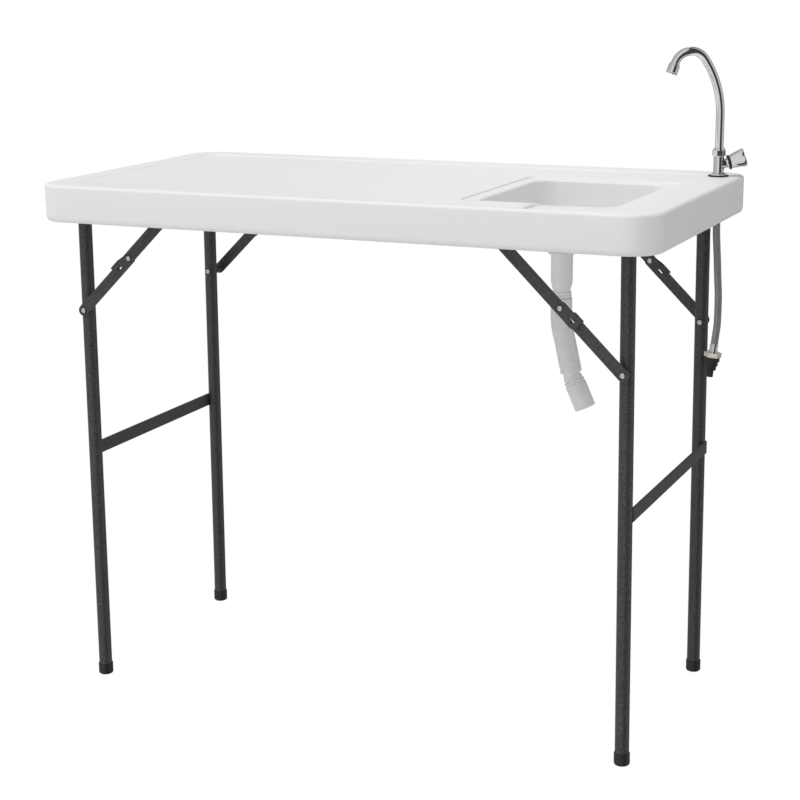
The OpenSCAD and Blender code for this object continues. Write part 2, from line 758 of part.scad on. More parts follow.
module drain_hose() {
    color([0.7, 0.71, 0.7]) at_drain(drain_drop)
        ribbed_tube(drain_route, hose_d / 2, rib_depth, hose_bore / 2, rib_n, 8);
}

// Turns a fitting's own downward axis to the way that a hose leaves its route
module at_end(route) {
    d = last_way(route);
    translate(last_point(route)) rotate([0, 0, atan2(d[1], d[0])])
        rotate([0, -acos(-d[2]), 0]) children();
}

// The cuff at the hose's low end: a neck, two rings and an open end that tips further
module outlet_cuff() {
    neck = 7;
    band = 3;
    shoulder = 14;
    shoulder_d = neck_d + 2;
    color([0.84, 0.85, 0.83]) at_drain(drain_drop) at_end(drain_route)
        translate([0, 0, -neck]) difference() {
            union() {
                translate([0, 0, -4]) cylinder(h = neck + 4, d = neck_d, $fn = fine);
                rotate([0, -outlet_turn, 0]) {
                    translate([0, 0, -7]) cylinder(h = band, d = shoulder_d + 2, $fn = fine);
                    translate([0, 0, -12]) cylinder(h = band, d = outlet_d, $fn = fine);
                    translate([0, 0, -shoulder]) cylinder(h = shoulder, d = shoulder_d, $fn = fine);
                    translate([0, 0, -outlet_l])
                        cylinder(h = outlet_l - shoulder, d = outlet_d, $fn = fine);
                }
            }
            translate([0, 0, -5]) cylinder(h = neck + 5 + eps, d = cuff_bore, $fn = fine);
            rotate([0, -outlet_turn, 0]) {
                translate([0, 0, -outlet_l]) cylinder(h = outlet_l + 3, d = cuff_bore, $fn = fine);
                translate([0, 0, -outlet_l - eps])
                    cylinder(h = outlet_l - shoulder - 2 + eps, d = outlet_bore, $fn = fine);
            }
        }
}

module at_faucet(z) {
    translate([faucet_at[0], faucet_at[1], z]) children();
}

module faucet_gasket() {
    color([0.08, 0.08, 0.08]) at_faucet(seat_z) difference() {
        cylinder(h = gasket_t, d = gasket_d, $fn = fine);
        translate([0, 0, -eps])
            cylinder(h = gasket_t + 2 * eps, r = stud_d / 2 + seat_gap, $fn = fine);
    }
}

module at_valve() {
    at_faucet(body_z + valve_h) rotate([0, 0, valve_az]) rotate([0, 90 - valve_tilt, 0]) children();
}

bonnet_r = 8;
bonnet_seat_r = 5;
bonnet_out = body_d / 2 + 8.5;
stem_r = 3.5;
ring_r = 13;
ring_t = 2.5;
water_r = 4;

module faucet_body() {
    color([0.8, 0.81, 0.83]) difference() {
        union() {
            at_faucet(body_z) cylinder(h = body_h, d = body_d, $fn = fine);
            at_faucet(body_z) cylinder(h = 3, r = gasket_d / 2 - 4, $fn = fine);
            at_faucet(stud_low) cylinder(h = body_z - stud_low, d = stud_d, $fn = fine);
        }
        at_faucet(stud_low - eps) cylinder(h = body_z + body_h - stud_low + 1, r = water_r, $fn = fine);
        at_faucet(collar_z - 12) cylinder(h = 13, r = spout_d / 2 - 1.5 + run_gap, $fn = fine);
        at_valve() cylinder(h = body_d, r = bonnet_seat_r + run_gap, $fn = fine);
    }
}

washer_t = 3;
module faucet_washer() {
    color([0.1, 0.1, 0.1]) at_faucet(under_z - washer_t) difference() {
        cylinder(h = washer_t, d = stud_d + 14, $fn = fine);
        translate([0, 0, -eps])
            cylinder(h = washer_t + 2 * eps, r = stud_d / 2 + seat_gap, $fn = fine);
    }
}

module faucet_nut() {
    nut_h = 9;
    color([0.75, 0.75, 0.72]) at_faucet(under_z - washer_t - nut_h) difference() {
        cylinder(h = nut_h, d = stud_d + 11, $fn = 6);
        translate([0, 0, -eps]) cylinder(h = nut_h + 2 * eps, r = stud_d / 2 + seat_gap, $fn = fine);
    }
}

// The collar nut that holds the spout down and lets it turn
module collar_nut() {
    flat_h = 10;
    color([0.82, 0.83, 0.85]) at_faucet(collar_z) difference() {
        union() {
            cylinder(h = flat_h, d = body_d + 5.5, $fn = 8);
            translate([0, 0, flat_h])
                cylinder(h = collar_h - flat_h, d1 = body_d + 3, d2 = spout_d + 3, $fn = fine);
        }
        translate([0, 0, -eps]) cylinder(h = 5, r = spout_d / 2 + 1.7, $fn = fine);
        translate([0, 0, -eps]) cylinder(h = collar_h + 1, r = spout_d / 2 + run_gap, $fn = fine);
    }
}

// A ring section swept about the bend's centre, in the spout's own plane
module bend(r, a0, a1, d) {
    rotate([90, 0, 0]) rotate([0, 0, 180 - a1]) rotate_extrude(angle = a1 - a0, $fn = 96)
        translate([r, 0]) circle(d = d, $fn = 32);
}

bend_mid = [bend_r1 * (1 - cos(bend_a1)), riser_z + bend_r1 * sin(bend_a1)];
bend_c2 = bend_mid + bend_r2 * [cos(bend_a1), -sin(bend_a1)];
spout_end = bend_c2 + bend_r2 * [-cos(bend_a2), sin(bend_a2)];

// Each bend draws the tube a little thinner.
bend_draw = 0.2;
module spout_path(d, z0) {
    translate([0, 0, z0]) cylinder(h = riser_z - z0, d = d, $fn = 32);
    translate([bend_r1, 0, riser_z]) bend(bend_r1, 0, bend_a1, d - bend_draw);
    translate([bend_c2[0], 0, bend_c2[1]])
        bend(bend_r2, bend_a1, bend_a2, d - 2 * bend_draw);
}

module at_spout() {
    translate([faucet_at[0], faucet_at[1], 0]) rotate([0, 0, spout_az]) children();
}

// The spout's foot has a flange under the collar nut and a plug in the body.
module spout() {
    plug_low = collar_z - 10;
    color([0.82, 0.83, 0.85]) at_spout() difference() {
        union() {
            spout_path(spout_d, collar_z + slip_gap);
            translate([0, 0, plug_low]) cylinder(h = 11, r = spout_d / 2 - 1.5, $fn = fine);
            translate([0, 0, collar_z + slip_gap])
                cylinder(h = 4, r = spout_d / 2 + 1.5, $fn = fine);
        }
        spout_path(spout_d - 2 * spout_t, collar_z + 8);
        translate([0, 0, plug_low - eps]) cylinder(h = 22, r = water_r, $fn = fine);
    }
}

module at_tip() {
    at_spout() translate([spout_end[0], 0, spout_end[1]]) rotate([0, bend_a2, 0]) children();
}

module aerator() {
    color([0.82, 0.83, 0.85]) at_tip() difference() {
        union() {
            cylinder(h = aerator_l, d = aerator_d, $fn = fine);
            cylinder(h = 3, d = aerator_d - 2, $fn = fine);
        }
        translate([0, 0, aerator_l - 12]) cylinder(h = 13, r = aerator_d / 2 - 3, $fn = fine);
        translate([0, 0, -eps]) cylinder(h = aerator_l, r = water_r, $fn = fine);
    }
}

// The bonnet screws into the body, and its stem carries the knob.
module valve_bonnet() {
    low = body_d / 2 - 4;
    color([0.8, 0.81, 0.83]) difference() {
        at_valve() {
            translate([0, 0, low]) cylinder(h = bonnet_out - low, r = bonnet_r, $fn = fine);
            translate([0, 0, bonnet_out]) cylinder(h = 14, r = stem_r, $fn = fine);
        }
        at_faucet(body_z) cylinder(h = body_h, r = body_d / 2, $fn = fine);
    }
    color([0.8, 0.81, 0.83]) at_valve() translate([0, 0, water_r + 1])
        cylinder(h = body_d / 2 + 1 - water_r, r = bonnet_seat_r, $fn = fine);
}

module valve_ring() {
    color([0.08, 0.08, 0.08]) at_valve() translate([0, 0, bonnet_out]) difference() {
        cylinder(h = ring_t, r = ring_r, $fn = fine);
        translate([0, 0, -eps]) cylinder(h = ring_t + 2 * eps, r = stem_r + run_gap, $fn = fine);
    }
}

// A flaring knob with three lobes between its grooves
module valve_knob() {
    lobes = 3;
    groove_r = 9;
    color([0.82, 0.83, 0.85]) at_valve() translate([0, 0, bonnet_out + ring_t + slip_gap])
        difference() {
            cylinder(h = knob_l, r1 = ring_r - 1, r2 = knob_d / 2, $fn = fine);
            for (i = [0 : lobes - 1]) rotate([0, 0, i * 360 / lobes + 90])
                translate([ring_r + groove_r - 2, 0, 5]) rotate([0, 10, 0])
                    cylinder(h = knob_l + 5, r = groove_r, $fn = fine);
            translate([0, 0, -eps]) cylinder(h = 13, r = stem_r + run_gap, $fn = fine);
        }
}

// A hexagon on the shank with a round neck below it, which clears the turning leg
module hose_top_nut() {
    grip = 8;
    lap = 1;
    neck_r = 8;
    color([0.78, 0.79, 0.8]) at_faucet(stud_low) difference() {
        union() {
            translate([0, 0, -lap]) rotate([0, 0, 30])
                cylinder(h = grip + lap, d = stud_d + 6, $fn = 6);
            translate([0, 0, -stud_fitting]) cylinder(h = stud_fitting, r = neck_r, $fn = fine);
        }
        cylinder(h = grip + eps, r = stud_d / 2 + seat_gap, $fn = fine);
        translate([0, 0, -stud_fitting - eps])
            cylinder(h = stud_fitting + 2 * eps, r = water_r, $fn = fine);
    }
}

module at_supply_end() {
    at_faucet(supply_top) at_end(supply_route) children();
}

module supply_hose() {
    color([0.62, 0.63, 0.64]) at_faucet(supply_top) solid_tube(supply_route, supply_d / 2, 10, 10);
}

module ferrule() {
    crimp = 2;
    cylinder(h = ferrule_l, d = supply_d + 1, $fn = fine);
    for (z = [3, ferrule_l - crimp - 3]) translate([0, 0, z])
        cylinder(h = crimp, d = supply_d + 2, $fn = fine);
}

module hose_ferrules() {
    color([0.8, 0.81, 0.82]) {
        at_faucet(supply_top) ferrule();
        at_supply_end() translate([0, 0, -ferrule_l]) ferrule();
    }
}

module coupling_nut() {
    color([0.78, 0.77, 0.7]) at_supply_end() translate([0, 0, -ferrule_l - coupling_l])
        cylinder(h = coupling_l, d = coupling_d, $fn = 6);
}

// A stepped connector that a garden hose pushes onto
module hose_connector() {
    steps_n = 3;
    step_l = 8;
    top_d = coupling_d - 4;
    color([0.1, 0.1, 0.1]) at_supply_end() translate([0, 0, -ferrule_l - coupling_l])
        difference() {
            union() {
                for (i = [0 : steps_n - 1]) translate([0, 0, -(i + 1) * step_l])
                    cylinder(h = step_l, d = top_d - i * 4, $fn = fine);
                translate([0, 0, -connector_l]) cylinder(h = connector_l, d = spigot_d, $fn = fine);
            }
            translate([0, 0, -connector_l - eps])
                cylinder(h = connector_l - 2, r = water_r, $fn = fine);
        }
}

worktop();
color([0.3, 0.31, 0.31]) rail(front);  // front_rail
color([0.3, 0.31, 0.31]) rail(back);  // back_rail
rail_screws();
leg(left, front);  // left_front_leg
leg(left, back);  // left_back_leg
crossbar(left);  // left_crossbar
pivot_rod(left);  // left_pivot_rod
pivot_spacers(left);  // left_pivot_spacers
pivot_caps(left);  // left_pivot_caps
foot(left, front);  // left_front_foot
foot(left, back);  // left_back_foot
brace_bolts(left);  // left_brace_bolts
brace_spacers(left);  // left_brace_spacers
upper_link(left, front);  // left_front_upper_link
upper_link(left, back);  // left_back_upper_link
middle_rivets(left);  // left_middle_rivets
lower_link(left, front);  // left_front_lower_link
lower_link(left, back);  // left_back_lower_link
rivet_tails(left);  // left_rivet_tails
link_pins(left);  // left_link_pins
leg(right, front);  // right_front_leg
leg(right, back);  // right_back_leg
crossbar(right);  // right_crossbar
pivot_rod(right);  // right_pivot_rod
pivot_spacers(right);  // right_pivot_spacers
pivot_caps(right);  // right_pivot_caps
foot(right, front);  // right_front_foot
foot(right, back);  // right_back_foot
brace_bolts(right);  // right_brace_bolts
brace_spacers(right);  // right_brace_spacers
upper_link(right, front);  // right_front_upper_link
upper_link(right, back);  // right_back_upper_link
middle_rivets(right);  // right_middle_rivets
lower_link(right, front);  // right_front_lower_link
lower_link(right, back);  // right_back_lower_link
rivet_tails(right);  // right_rivet_tails
link_pins(right);  // right_link_pins
drain_flange();
drain_gasket();
drain_nut();
drain_cuff();
drain_hose();
outlet_cuff();
faucet_gasket();
faucet_body();
faucet_washer();
faucet_nut();
collar_nut();
spout();
aerator();
valve_bonnet();
valve_ring();
valve_knob();
hose_top_nut();
supply_hose();
hose_ferrules();
coupling_nut();
hose_connector();
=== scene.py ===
# %% [markdown]
# # A folding fish cleaning table
# The real table is a hollow moulded plastic top with a sink, a steel tube leg pair at each
# end, folding braces, a waste hose and a swivel faucet. The engineering model already fixes
# every place and size, so this lesson only dresses it: it loads that model as a frame, and
# each cell below adds one finish or one finer piece on top of it.

# %% Load the frame
import bpy
import bmesh
import math
from mathutils import Matrix, Vector
from mathutils.geometry import delaunay_2d_cdt


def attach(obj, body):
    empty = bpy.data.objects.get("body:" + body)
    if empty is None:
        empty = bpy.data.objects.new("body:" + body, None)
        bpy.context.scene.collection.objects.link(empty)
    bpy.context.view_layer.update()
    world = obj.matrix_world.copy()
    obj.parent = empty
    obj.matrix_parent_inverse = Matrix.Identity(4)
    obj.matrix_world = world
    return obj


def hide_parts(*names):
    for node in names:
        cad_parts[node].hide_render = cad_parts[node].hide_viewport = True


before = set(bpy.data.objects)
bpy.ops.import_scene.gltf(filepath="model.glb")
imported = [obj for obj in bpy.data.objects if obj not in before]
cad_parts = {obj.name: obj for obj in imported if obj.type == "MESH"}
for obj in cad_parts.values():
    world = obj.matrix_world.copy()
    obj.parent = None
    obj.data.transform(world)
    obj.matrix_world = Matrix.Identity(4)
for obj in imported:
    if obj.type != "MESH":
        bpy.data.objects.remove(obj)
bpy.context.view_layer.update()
MM = 0.001

# %% [markdown]
# ## The camera
# A product photograph like this one is taken with a long lens from a little above the top.
# Place, three axes and lens were solved from the corners of the top and the four feet, so the
# camera is given by its matrix instead of being aimed by hand.

# %% Camera
camera = bpy.data.objects.new("camera", bpy.data.cameras.new("camera"))
bpy.context.scene.collection.objects.link(camera)
right = Vector((0.909524, 0.415523, -0.010287))
up = Vector((-0.091194, 0.223635, 0.970397))
back = Vector((0.405523, -0.881662, 0.241295))
place = Vector((1.3224, -2.8634, 1.3146))
camera.matrix_world = Matrix([(right[i], up[i], back[i], place[i]) for i in range(3)] + [(0, 0, 0, 1)])
camera.data.sensor_width = 36
camera.data.lens = 80.08
camera.data.clip_end = 60
bpy.context.scene.camera = camera
print("camera at", tuple(round(x, 3) for x in camera.location))

# %% [markdown]
# ## Helpers for meshes
# Most pieces here are either turned on a lathe, swept along a line or lofted between
# outlines. Three small helpers cover these, and a fourth joins their parts into one welded
# mesh with its normals outwards.

# %% Mesh helpers
def spin(profile, sides=48):
    """Turns (radius, height) pairs about Z. A radius of 0 closes the form at the axis."""
    verts, faces, rows = [], [], []
    for r, z in profile:
        if r < 1e-7:
            rows.append([len(verts)])
            verts.append(Vector((0, 0, z)))
        else:
            rows.append(list(range(len(verts), len(verts) + sides)))
            verts += [Vector((r * math.cos(2 * math.pi * k / sides),
                              r * math.sin(2 * math.pi * k / sides), z)) for k in range(sides)]
    for a, b in zip(rows, rows[1:]):
        for k in range(sides):
            quad = [a[k % len(a)], a[(k + 1) % len(a)], b[(k + 1) % len(b)], b[k % len(b)]]
            faces.append(list(dict.fromkeys(quad)))
    return verts, [f for f in faces if len(f) > 2]


def loft(rings, caps=True):
    """Joins rings of equally many points; caps close the first and the last ring."""
    n = len(rings[0])
    verts = [Vector(p) for ring in rings for p in ring]
    faces = [[i * n + k, i * n + (k + 1) % n, (i + 1) * n + (k + 1) % n, (i + 1) * n + k]
             for i in range(len(rings) - 1) for k in range(n)]
    if caps:
        faces += [list(range(n))[::-1], list(range((len(rings) - 1) * n, len(rings) * n))]
    return verts, faces


def sweep(line, radii, sides=32, shape=None):
    """Rings round a line, turned as little as possible from each point to the next."""
    line = [Vector(p) for p in line]
    ways = [(line[min(i + 1, len(line) - 1)] - line[max(i - 1, 0)]).normalized()
            for i in range(len(line))]
    side = ways[0].cross(Vector((0, 1, 0)))
    side = side.normalized() if side.length > 0.1 else ways[0].cross(Vector((1, 0, 0))).normalized()
    rings = []
    for p, way, r in zip(line, ways, radii):
        side = (side - way * side.dot(way)).normalized()
        other = way.cross(side)
        rings.append([p + r * (math.cos(a) * side + math.sin(a) * other)
                      for a in (2 * math.pi * k / sides for k in range(sides))])
    return rings


def place_part(part, matrix):
    return [matrix @ Vector(v) for v in part[0]], part[1]


def build(name, parts, body, angle=35, weld=1e-6):
    """One object from several parts, welded, closed outwards and shaded smooth."""
    mesh = bpy.data.meshes.new(name)
    work = bmesh.new()
    for verts, faces in parts:
        made = [work.verts.new(v) for v in verts]
        for f in faces:
            try:
                work.faces.new([made[i] for i in f])
            except ValueError:
                pass
    bmesh.ops.remove_doubles(work, verts=work.verts, dist=weld)
    bmesh.ops.recalc_face_normals(work, faces=work.faces)
    work.to_mesh(mesh)
    work.free()
    mesh.shade_smooth()
    mesh.set_sharp_from_angle(angle=math.radians(angle))
    piece = bpy.data.objects.new(name, mesh)
    bpy.context.scene.collection.objects.link(piece)
    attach(piece, body)
    return piece


def axis_matrix(origin, z_way, x_hint=(1, 0, 0)):
    """A frame at origin whose own Z points along z_way."""
    z = Vector(z_way).normalized()
    x = (Vector(x_hint) - z * z.dot(Vector(x_hint))).normalized()
    y = z.cross(x)
    return Matrix([(x[i], y[i], z[i], origin[i]) for i in range(3)] + [(0, 0, 0, 1)])


# %% [markdown]
# ## Shared shader effects
# Three effects return in several finishes: the fine grain of moulded plastic, the dimples of
# hammered paint, and the faint smears on polished metal. Each is a node group with named
# inputs, so a finish only chooses its own scale and strength.

# %% Shader groups
def effect_group(name, inputs, outputs):
    group = bpy.data.node_groups.new(name, "ShaderNodeTree")
    for label, kind, value in inputs:
        socket = group.interface.new_socket(label, in_out="INPUT", socket_type=kind)
        if value is not None:
            socket.default_value = value
    for label, kind in outputs:
        group.interface.new_socket(label, in_out="OUTPUT", socket_type=kind)
    return group, group.nodes.new("NodeGroupInput"), group.nodes.new("NodeGroupOutput")


def add(tree, kind, links=None, **values):
    """Adds a node, sets its plain properties, and feeds its inputs by name or index."""
    node = tree.nodes.new(kind)
    for key, value in values.items():
        setattr(node, key, value)
    for key, value in (links or {}).items():
        if isinstance(value, bpy.types.NodeSocket):
            tree.links.new(value, node.inputs[key])
        else:
            node.inputs[key].default_value = value
    return node


COLOUR, NUMBER, VECTOR = "NodeSocketColor", "NodeSocketFloat", "NodeSocketVector"

grain, g_in, g_out = effect_group(
    "plastic_grain",
    [("Vector", VECTOR, None), ("Grain size", NUMBER, 900.0), ("Cloud size", NUMBER, 6.0),
     ("Light", COLOUR, (1, 1, 1, 1)), ("Dark", COLOUR, (0.9, 0.9, 0.9, 1)),
     ("Rough low", NUMBER, 0.4), ("Rough high", NUMBER, 0.55)],
    [("Color", COLOUR), ("Roughness", NUMBER), ("Height", NUMBER)])
fine = add(grain, "ShaderNodeTexNoise", {"Vector": g_in.outputs["Vector"],
                                         "Scale": g_in.outputs["Grain size"], "Detail": 2.0})
cloud = add(grain, "ShaderNodeTexNoise", {"Vector": g_in.outputs["Vector"],
                                          "Scale": g_in.outputs["Cloud size"], "Detail": 3.0})
tint = add(grain, "ShaderNodeMix", {0: cloud.outputs[0], 6: g_in.outputs["Dark"],
                                    7: g_in.outputs["Light"]}, data_type="RGBA")
rough = add(grain, "ShaderNodeMapRange", {"Value": cloud.outputs[0], "To Min": g_in.outputs["Rough low"],
                                          "To Max": g_in.outputs["Rough high"]})
grain.links.new(tint.outputs[2], g_out.inputs["Color"])
grain.links.new(rough.outputs[0], g_out.inputs["Roughness"])
grain.links.new(fine.outputs[0], g_out.inputs["Height"])

hammer, h_in, h_out = effect_group(
    "hammered_paint",
    [("Vector", VECTOR, None), ("Dimple size", NUMBER, 420.0),
     ("Paint", COLOUR, (0.032, 0.035, 0.034, 1)), ("Fleck", COLOUR, (0.085, 0.088, 0.085, 1))],
    [("Color", COLOUR), ("Roughness", NUMBER), ("Height", NUMBER)])
cells = add(hammer, "ShaderNodeTexVoronoi", {"Vector": h_in.outputs["Vector"],
                                             "Scale": h_in.outputs["Dimple size"]},
            feature="SMOOTH_F1")
speck = add(hammer, "ShaderNodeTexNoise", {"Vector": h_in.outputs["Vector"],
                                           "Scale": h_in.outputs["Dimple size"], "Detail": 3.0})
mask = add(hammer, "ShaderNodeMapRange", {"Value": speck.outputs[0], "From Min": 0.45,
                                          "From Max": 0.7})
paint = add(hammer, "ShaderNodeMix", {0: mask.outputs[0], 6: h_in.outputs["Paint"],
                                      7: h_in.outputs["Fleck"]}, data_type="RGBA")
gloss = add(hammer, "ShaderNodeMapRange", {"Value": speck.outputs[0], "To Min": 0.5, "To Max": 0.3})
hammer.links.new(paint.outputs[2], h_out.inputs["Color"])
hammer.links.new(gloss.outputs[0], h_out.inputs["Roughness"])
hammer.links.new(cells.outputs["Distance"], h_out.inputs["Height"])

smear, s_in, s_out = effect_group(
    "metal_smear",
    [("Vector", VECTOR, None), ("Smear size", NUMBER, 40.0), ("Clean", NUMBER, 0.06),
     ("Smeared", NUMBER, 0.16)],
    [("Roughness", NUMBER), ("Height", NUMBER)])
film = add(smear, "ShaderNodeTexNoise", {"Vector": s_in.outputs["Vector"],
                                         "Scale": s_in.outputs["Smear size"], "Detail": 4.0})
film_map = add(smear, "ShaderNodeMapRange", {"Value": film.outputs[0], "From Min": 0.4,
                                             "From Max": 0.8, "To Min": s_in.outputs["Clean"],
                                             "To Max": s_in.outputs["Smeared"]})
smear.links.new(film_map.outputs[0], s_out.inputs["Roughness"])
smear.links.new(film.outputs[0], s_out.inputs["Height"])
print("effect groups:", grain.name, hammer.name, smear.name)

# %% [markdown]
# ## The finishes
# Each finish keeps its Principled shader in the material itself and takes colour, roughness
# and bump from a group. Plain numbers, such as the metallic level, are set on the shader.

# %% Finishes
def finish(name, group, inputs, bump=0.0, depth=0.001, metallic=0.0, colour=None, **sockets):
    mat = bpy.data.materials.new(name)
    mat.use_nodes = True
    tree = mat.node_tree
    shader = tree.nodes["Principled BSDF"]
    where = add(tree, "ShaderNodeTexCoord")
    effect = add(tree, "ShaderNodeGroup", node_tree=group)
    tree.links.new(where.outputs["Object"], effect.inputs["Vector"])
    for key, value in inputs.items():
        effect.inputs[key].default_value = value
    if "Color" in effect.outputs:
        tree.links.new(effect.outputs["Color"], shader.inputs["Base Color"])
    else:
        shader.inputs["Base Color"].default_value = colour
    tree.links.new(effect.outputs["Roughness"], shader.inputs["Roughness"])
    if bump:
        relief = add(tree, "ShaderNodeBump", {"Strength": bump, "Distance": depth,
                                              "Height": effect.outputs["Height"]})
        tree.links.new(relief.outputs[0], shader.inputs["Normal"])
    shader.inputs["Metallic"].default_value = metallic
    for key, value in sockets.items():
        shader.inputs[key.replace("_", " ")].default_value = value
    return mat


white_top = finish("white_moulded_top", grain,
                   {"Grain size": 700.0, "Cloud size": 5.0, "Light": (0.845, 0.855, 0.85, 1),
                    "Dark": (0.82, 0.832, 0.826, 1), "Rough low": 0.42, "Rough high": 0.52},
                   bump=0.12, depth=0.0004)
pale_hose = finish("pale_hose_plastic", grain,
                   {"Grain size": 500.0, "Cloud size": 18.0, "Light": (0.85, 0.853, 0.835, 1),
                    "Dark": (0.80, 0.805, 0.785, 1), "Rough low": 0.38, "Rough high": 0.5},
                   bump=0.08, depth=0.0004)
black_plastic = finish("black_plastic", grain,
                       {"Grain size": 900.0, "Cloud size": 30.0, "Light": (0.022, 0.022, 0.022, 1),
                        "Dark": (0.014, 0.014, 0.014, 1), "Rough low": 0.45, "Rough high": 0.6},
                       bump=0.15, depth=0.0003)
leg_paint = finish("hammered_leg_paint", hammer, {"Dimple size": 420.0}, bump=0.5, depth=0.0006)
bar_paint = finish("smooth_bar_paint", grain,
                   {"Grain size": 1200.0, "Cloud size": 25.0, "Light": (0.062, 0.064, 0.062, 1),
                    "Dark": (0.045, 0.047, 0.045, 1), "Rough low": 0.4, "Rough high": 0.52},
                   bump=0.08, depth=0.0003)
chrome = finish("polished_chrome", smear, {"Smear size": 40.0}, bump=0.02, depth=0.0002,
                metallic=1.0, colour=(0.8, 0.81, 0.81, 1))
bright_steel = finish("bright_steel", smear, {"Smear size": 120.0, "Clean": 0.18, "Smeared": 0.34},
                      bump=0.05, depth=0.0002, metallic=1.0, colour=(0.74, 0.74, 0.73, 1))
nickel = finish("warm_nickel", smear, {"Smear size": 150.0, "Clean": 0.22, "Smeared": 0.36},
                bump=0.05, depth=0.0002, metallic=1.0, colour=(0.78, 0.75, 0.66, 1))
print("finishes:", [m.name for m in bpy.data.materials])


def wear(piece, *materials):
    piece.data.materials.clear()
    for m in materials:
        piece.data.materials.append(m)


# %% [markdown]
# ## Finishes for the pieces that keep their engineering shape
# Tubes, links, rails and caps are already right, so they only change their material. The
# loose triangles of such a mesh are left as they are.

# %% Dress the carried-over nodes
def dress(names, material):
    for name in names:
        wear(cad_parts[name], material)


SIDES = ("left", "right")
for side in SIDES:
    dress([f"{side}_{n}" for n in ("front_leg", "back_leg", "front_upper_link", "back_upper_link",
                                   "front_lower_link", "back_lower_link", "brace_spacers")], leg_paint)
    dress([f"{side}_crossbar"], bar_paint)
    dress([f"{side}_front_foot", f"{side}_back_foot", f"{side}_pivot_caps"], black_plastic)
    dress([f"{side}_pivot_rod", f"{side}_link_pins", f"{side}_middle_rivets",
           f"{side}_rivet_tails", f"{side}_brace_bolts"], bright_steel)
    dress([f"{side}_pivot_spacers"], pale_hose)
dress(["front_rail", "back_rail"], bar_paint)
dress(["rail_screws", "faucet_nut", "hose_top_nut", "hose_ferrules"], bright_steel)
dress(["drain_flange", "spout", "aerator", "collar_nut", "faucet_body", "valve_bonnet",
       "valve_knob"], chrome)
dress(["drain_gasket", "faucet_gasket", "faucet_washer", "valve_ring", "hose_connector"],
      black_plastic)
dress(["drain_nut", "drain_cuff", "outlet_cuff", "drain_hose"], pale_hose)
dress(["coupling_nut"], nickel)
dress(["supply_hose"], bright_steel)
dress(["worktop"], white_top)
print("dressed", sum(1 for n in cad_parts.values() if n.data.materials))

# %% [markdown]
# ## The waste hose
# A corrugated hose with a smooth cuff moulded on each end. It is one flexible thing from the
# drain nut to its open end, so cuffs and hose make one mesh along one line. The ribs repeat
# along that line, which is what Geometry Nodes are good at: points along the curve, a ring
# on each point.

# %% Waste hose route
drain = Vector((0.330, -0.0445, 0.750))
DRAIN_ROUTE = [(0, 0, 0), (0, 0, -18), (0, 0, -36), (2.5, 0, -54), (7, 0, -72), (11, 0, -90),
               (15, 0, -108), (19, 0, -126)]


def smooth_line(points, per_span):
    """A curve through the points, with the first and last spans kept straight."""
    p = [Vector(q) for q in points]
    p = [2 * p[0] - p[1]] + p + [2 * p[-1] - p[-2]]
    out = []
    for a, b, c, d in zip(p, p[1:], p[2:], p[3:]):
        for k in range(per_span):
            t = k / per_span
            out.append(0.5 * (2 * b + (c - a) * t + (2 * a - 5 * b + 4 * c - d) * t * t
                              + (3 * b - a - 3 * c + d) * t ** 3))
    return out + [p[-2]]


hose_line = [drain + MM * q for q in smooth_line(DRAIN_ROUTE, 6)]
hose_end = hose_line[-1]
hose_way = (hose_line[-1] - hose_line[-2]).normalized()
outlet_way = Matrix.Rotation(math.radians(-12), 3, "Y") @ hose_way
hose_length = sum((b - a).length for a, b in zip(hose_line, hose_line[1:]))
print("ribbed part", round(hose_length * 1000), "mm")


# %% Ribs by Geometry Nodes
def geometry_tree(name, inputs):
    tree = bpy.data.node_groups.new(name, "GeometryNodeTree")
    tree.interface.new_socket("Geometry", in_out="INPUT", socket_type="NodeSocketGeometry")
    for label, kind, value in inputs:
        socket = tree.interface.new_socket(label, in_out="INPUT", socket_type=kind)
        if value is not None:
            socket.default_value = value
    tree.interface.new_socket("Geometry", in_out="OUTPUT", socket_type="NodeSocketGeometry")
    return tree, tree.nodes.new("NodeGroupInput"), tree.nodes.new("NodeGroupOutput")


def grow(name, source, tree, values):
    """Runs a tree on an object made of source data and keeps the result as a plain mesh."""
    holder = bpy.data.objects.new(name + "_source", source)
    bpy.context.scene.collection.objects.link(holder)
    modifier = holder.modifiers.new("grow", "NODES")
    modifier.node_group = tree
    for item in tree.interface.items_tree:
        if item.item_type == "SOCKET" and item.in_out == "INPUT" and item.name in values:
            modifier[item.identifier] = values[item.name]
    graph = bpy.context.evaluated_depsgraph_get()
    mesh = bpy.data.meshes.new_from_object(holder.evaluated_get(graph), depsgraph=graph)
    bpy.data.objects.remove(holder)
    mesh.name = name
    return mesh


def poly_curve(name, points):
    curve = bpy.data.curves.new(name, "CURVE")
    curve.dimensions = "3D"
    spline = curve.splines.new("POLY")
    spline.points.add(len(points) - 1)
    for target, p in zip(spline.points, points):
        target.co = (*p, 1)
    return curve


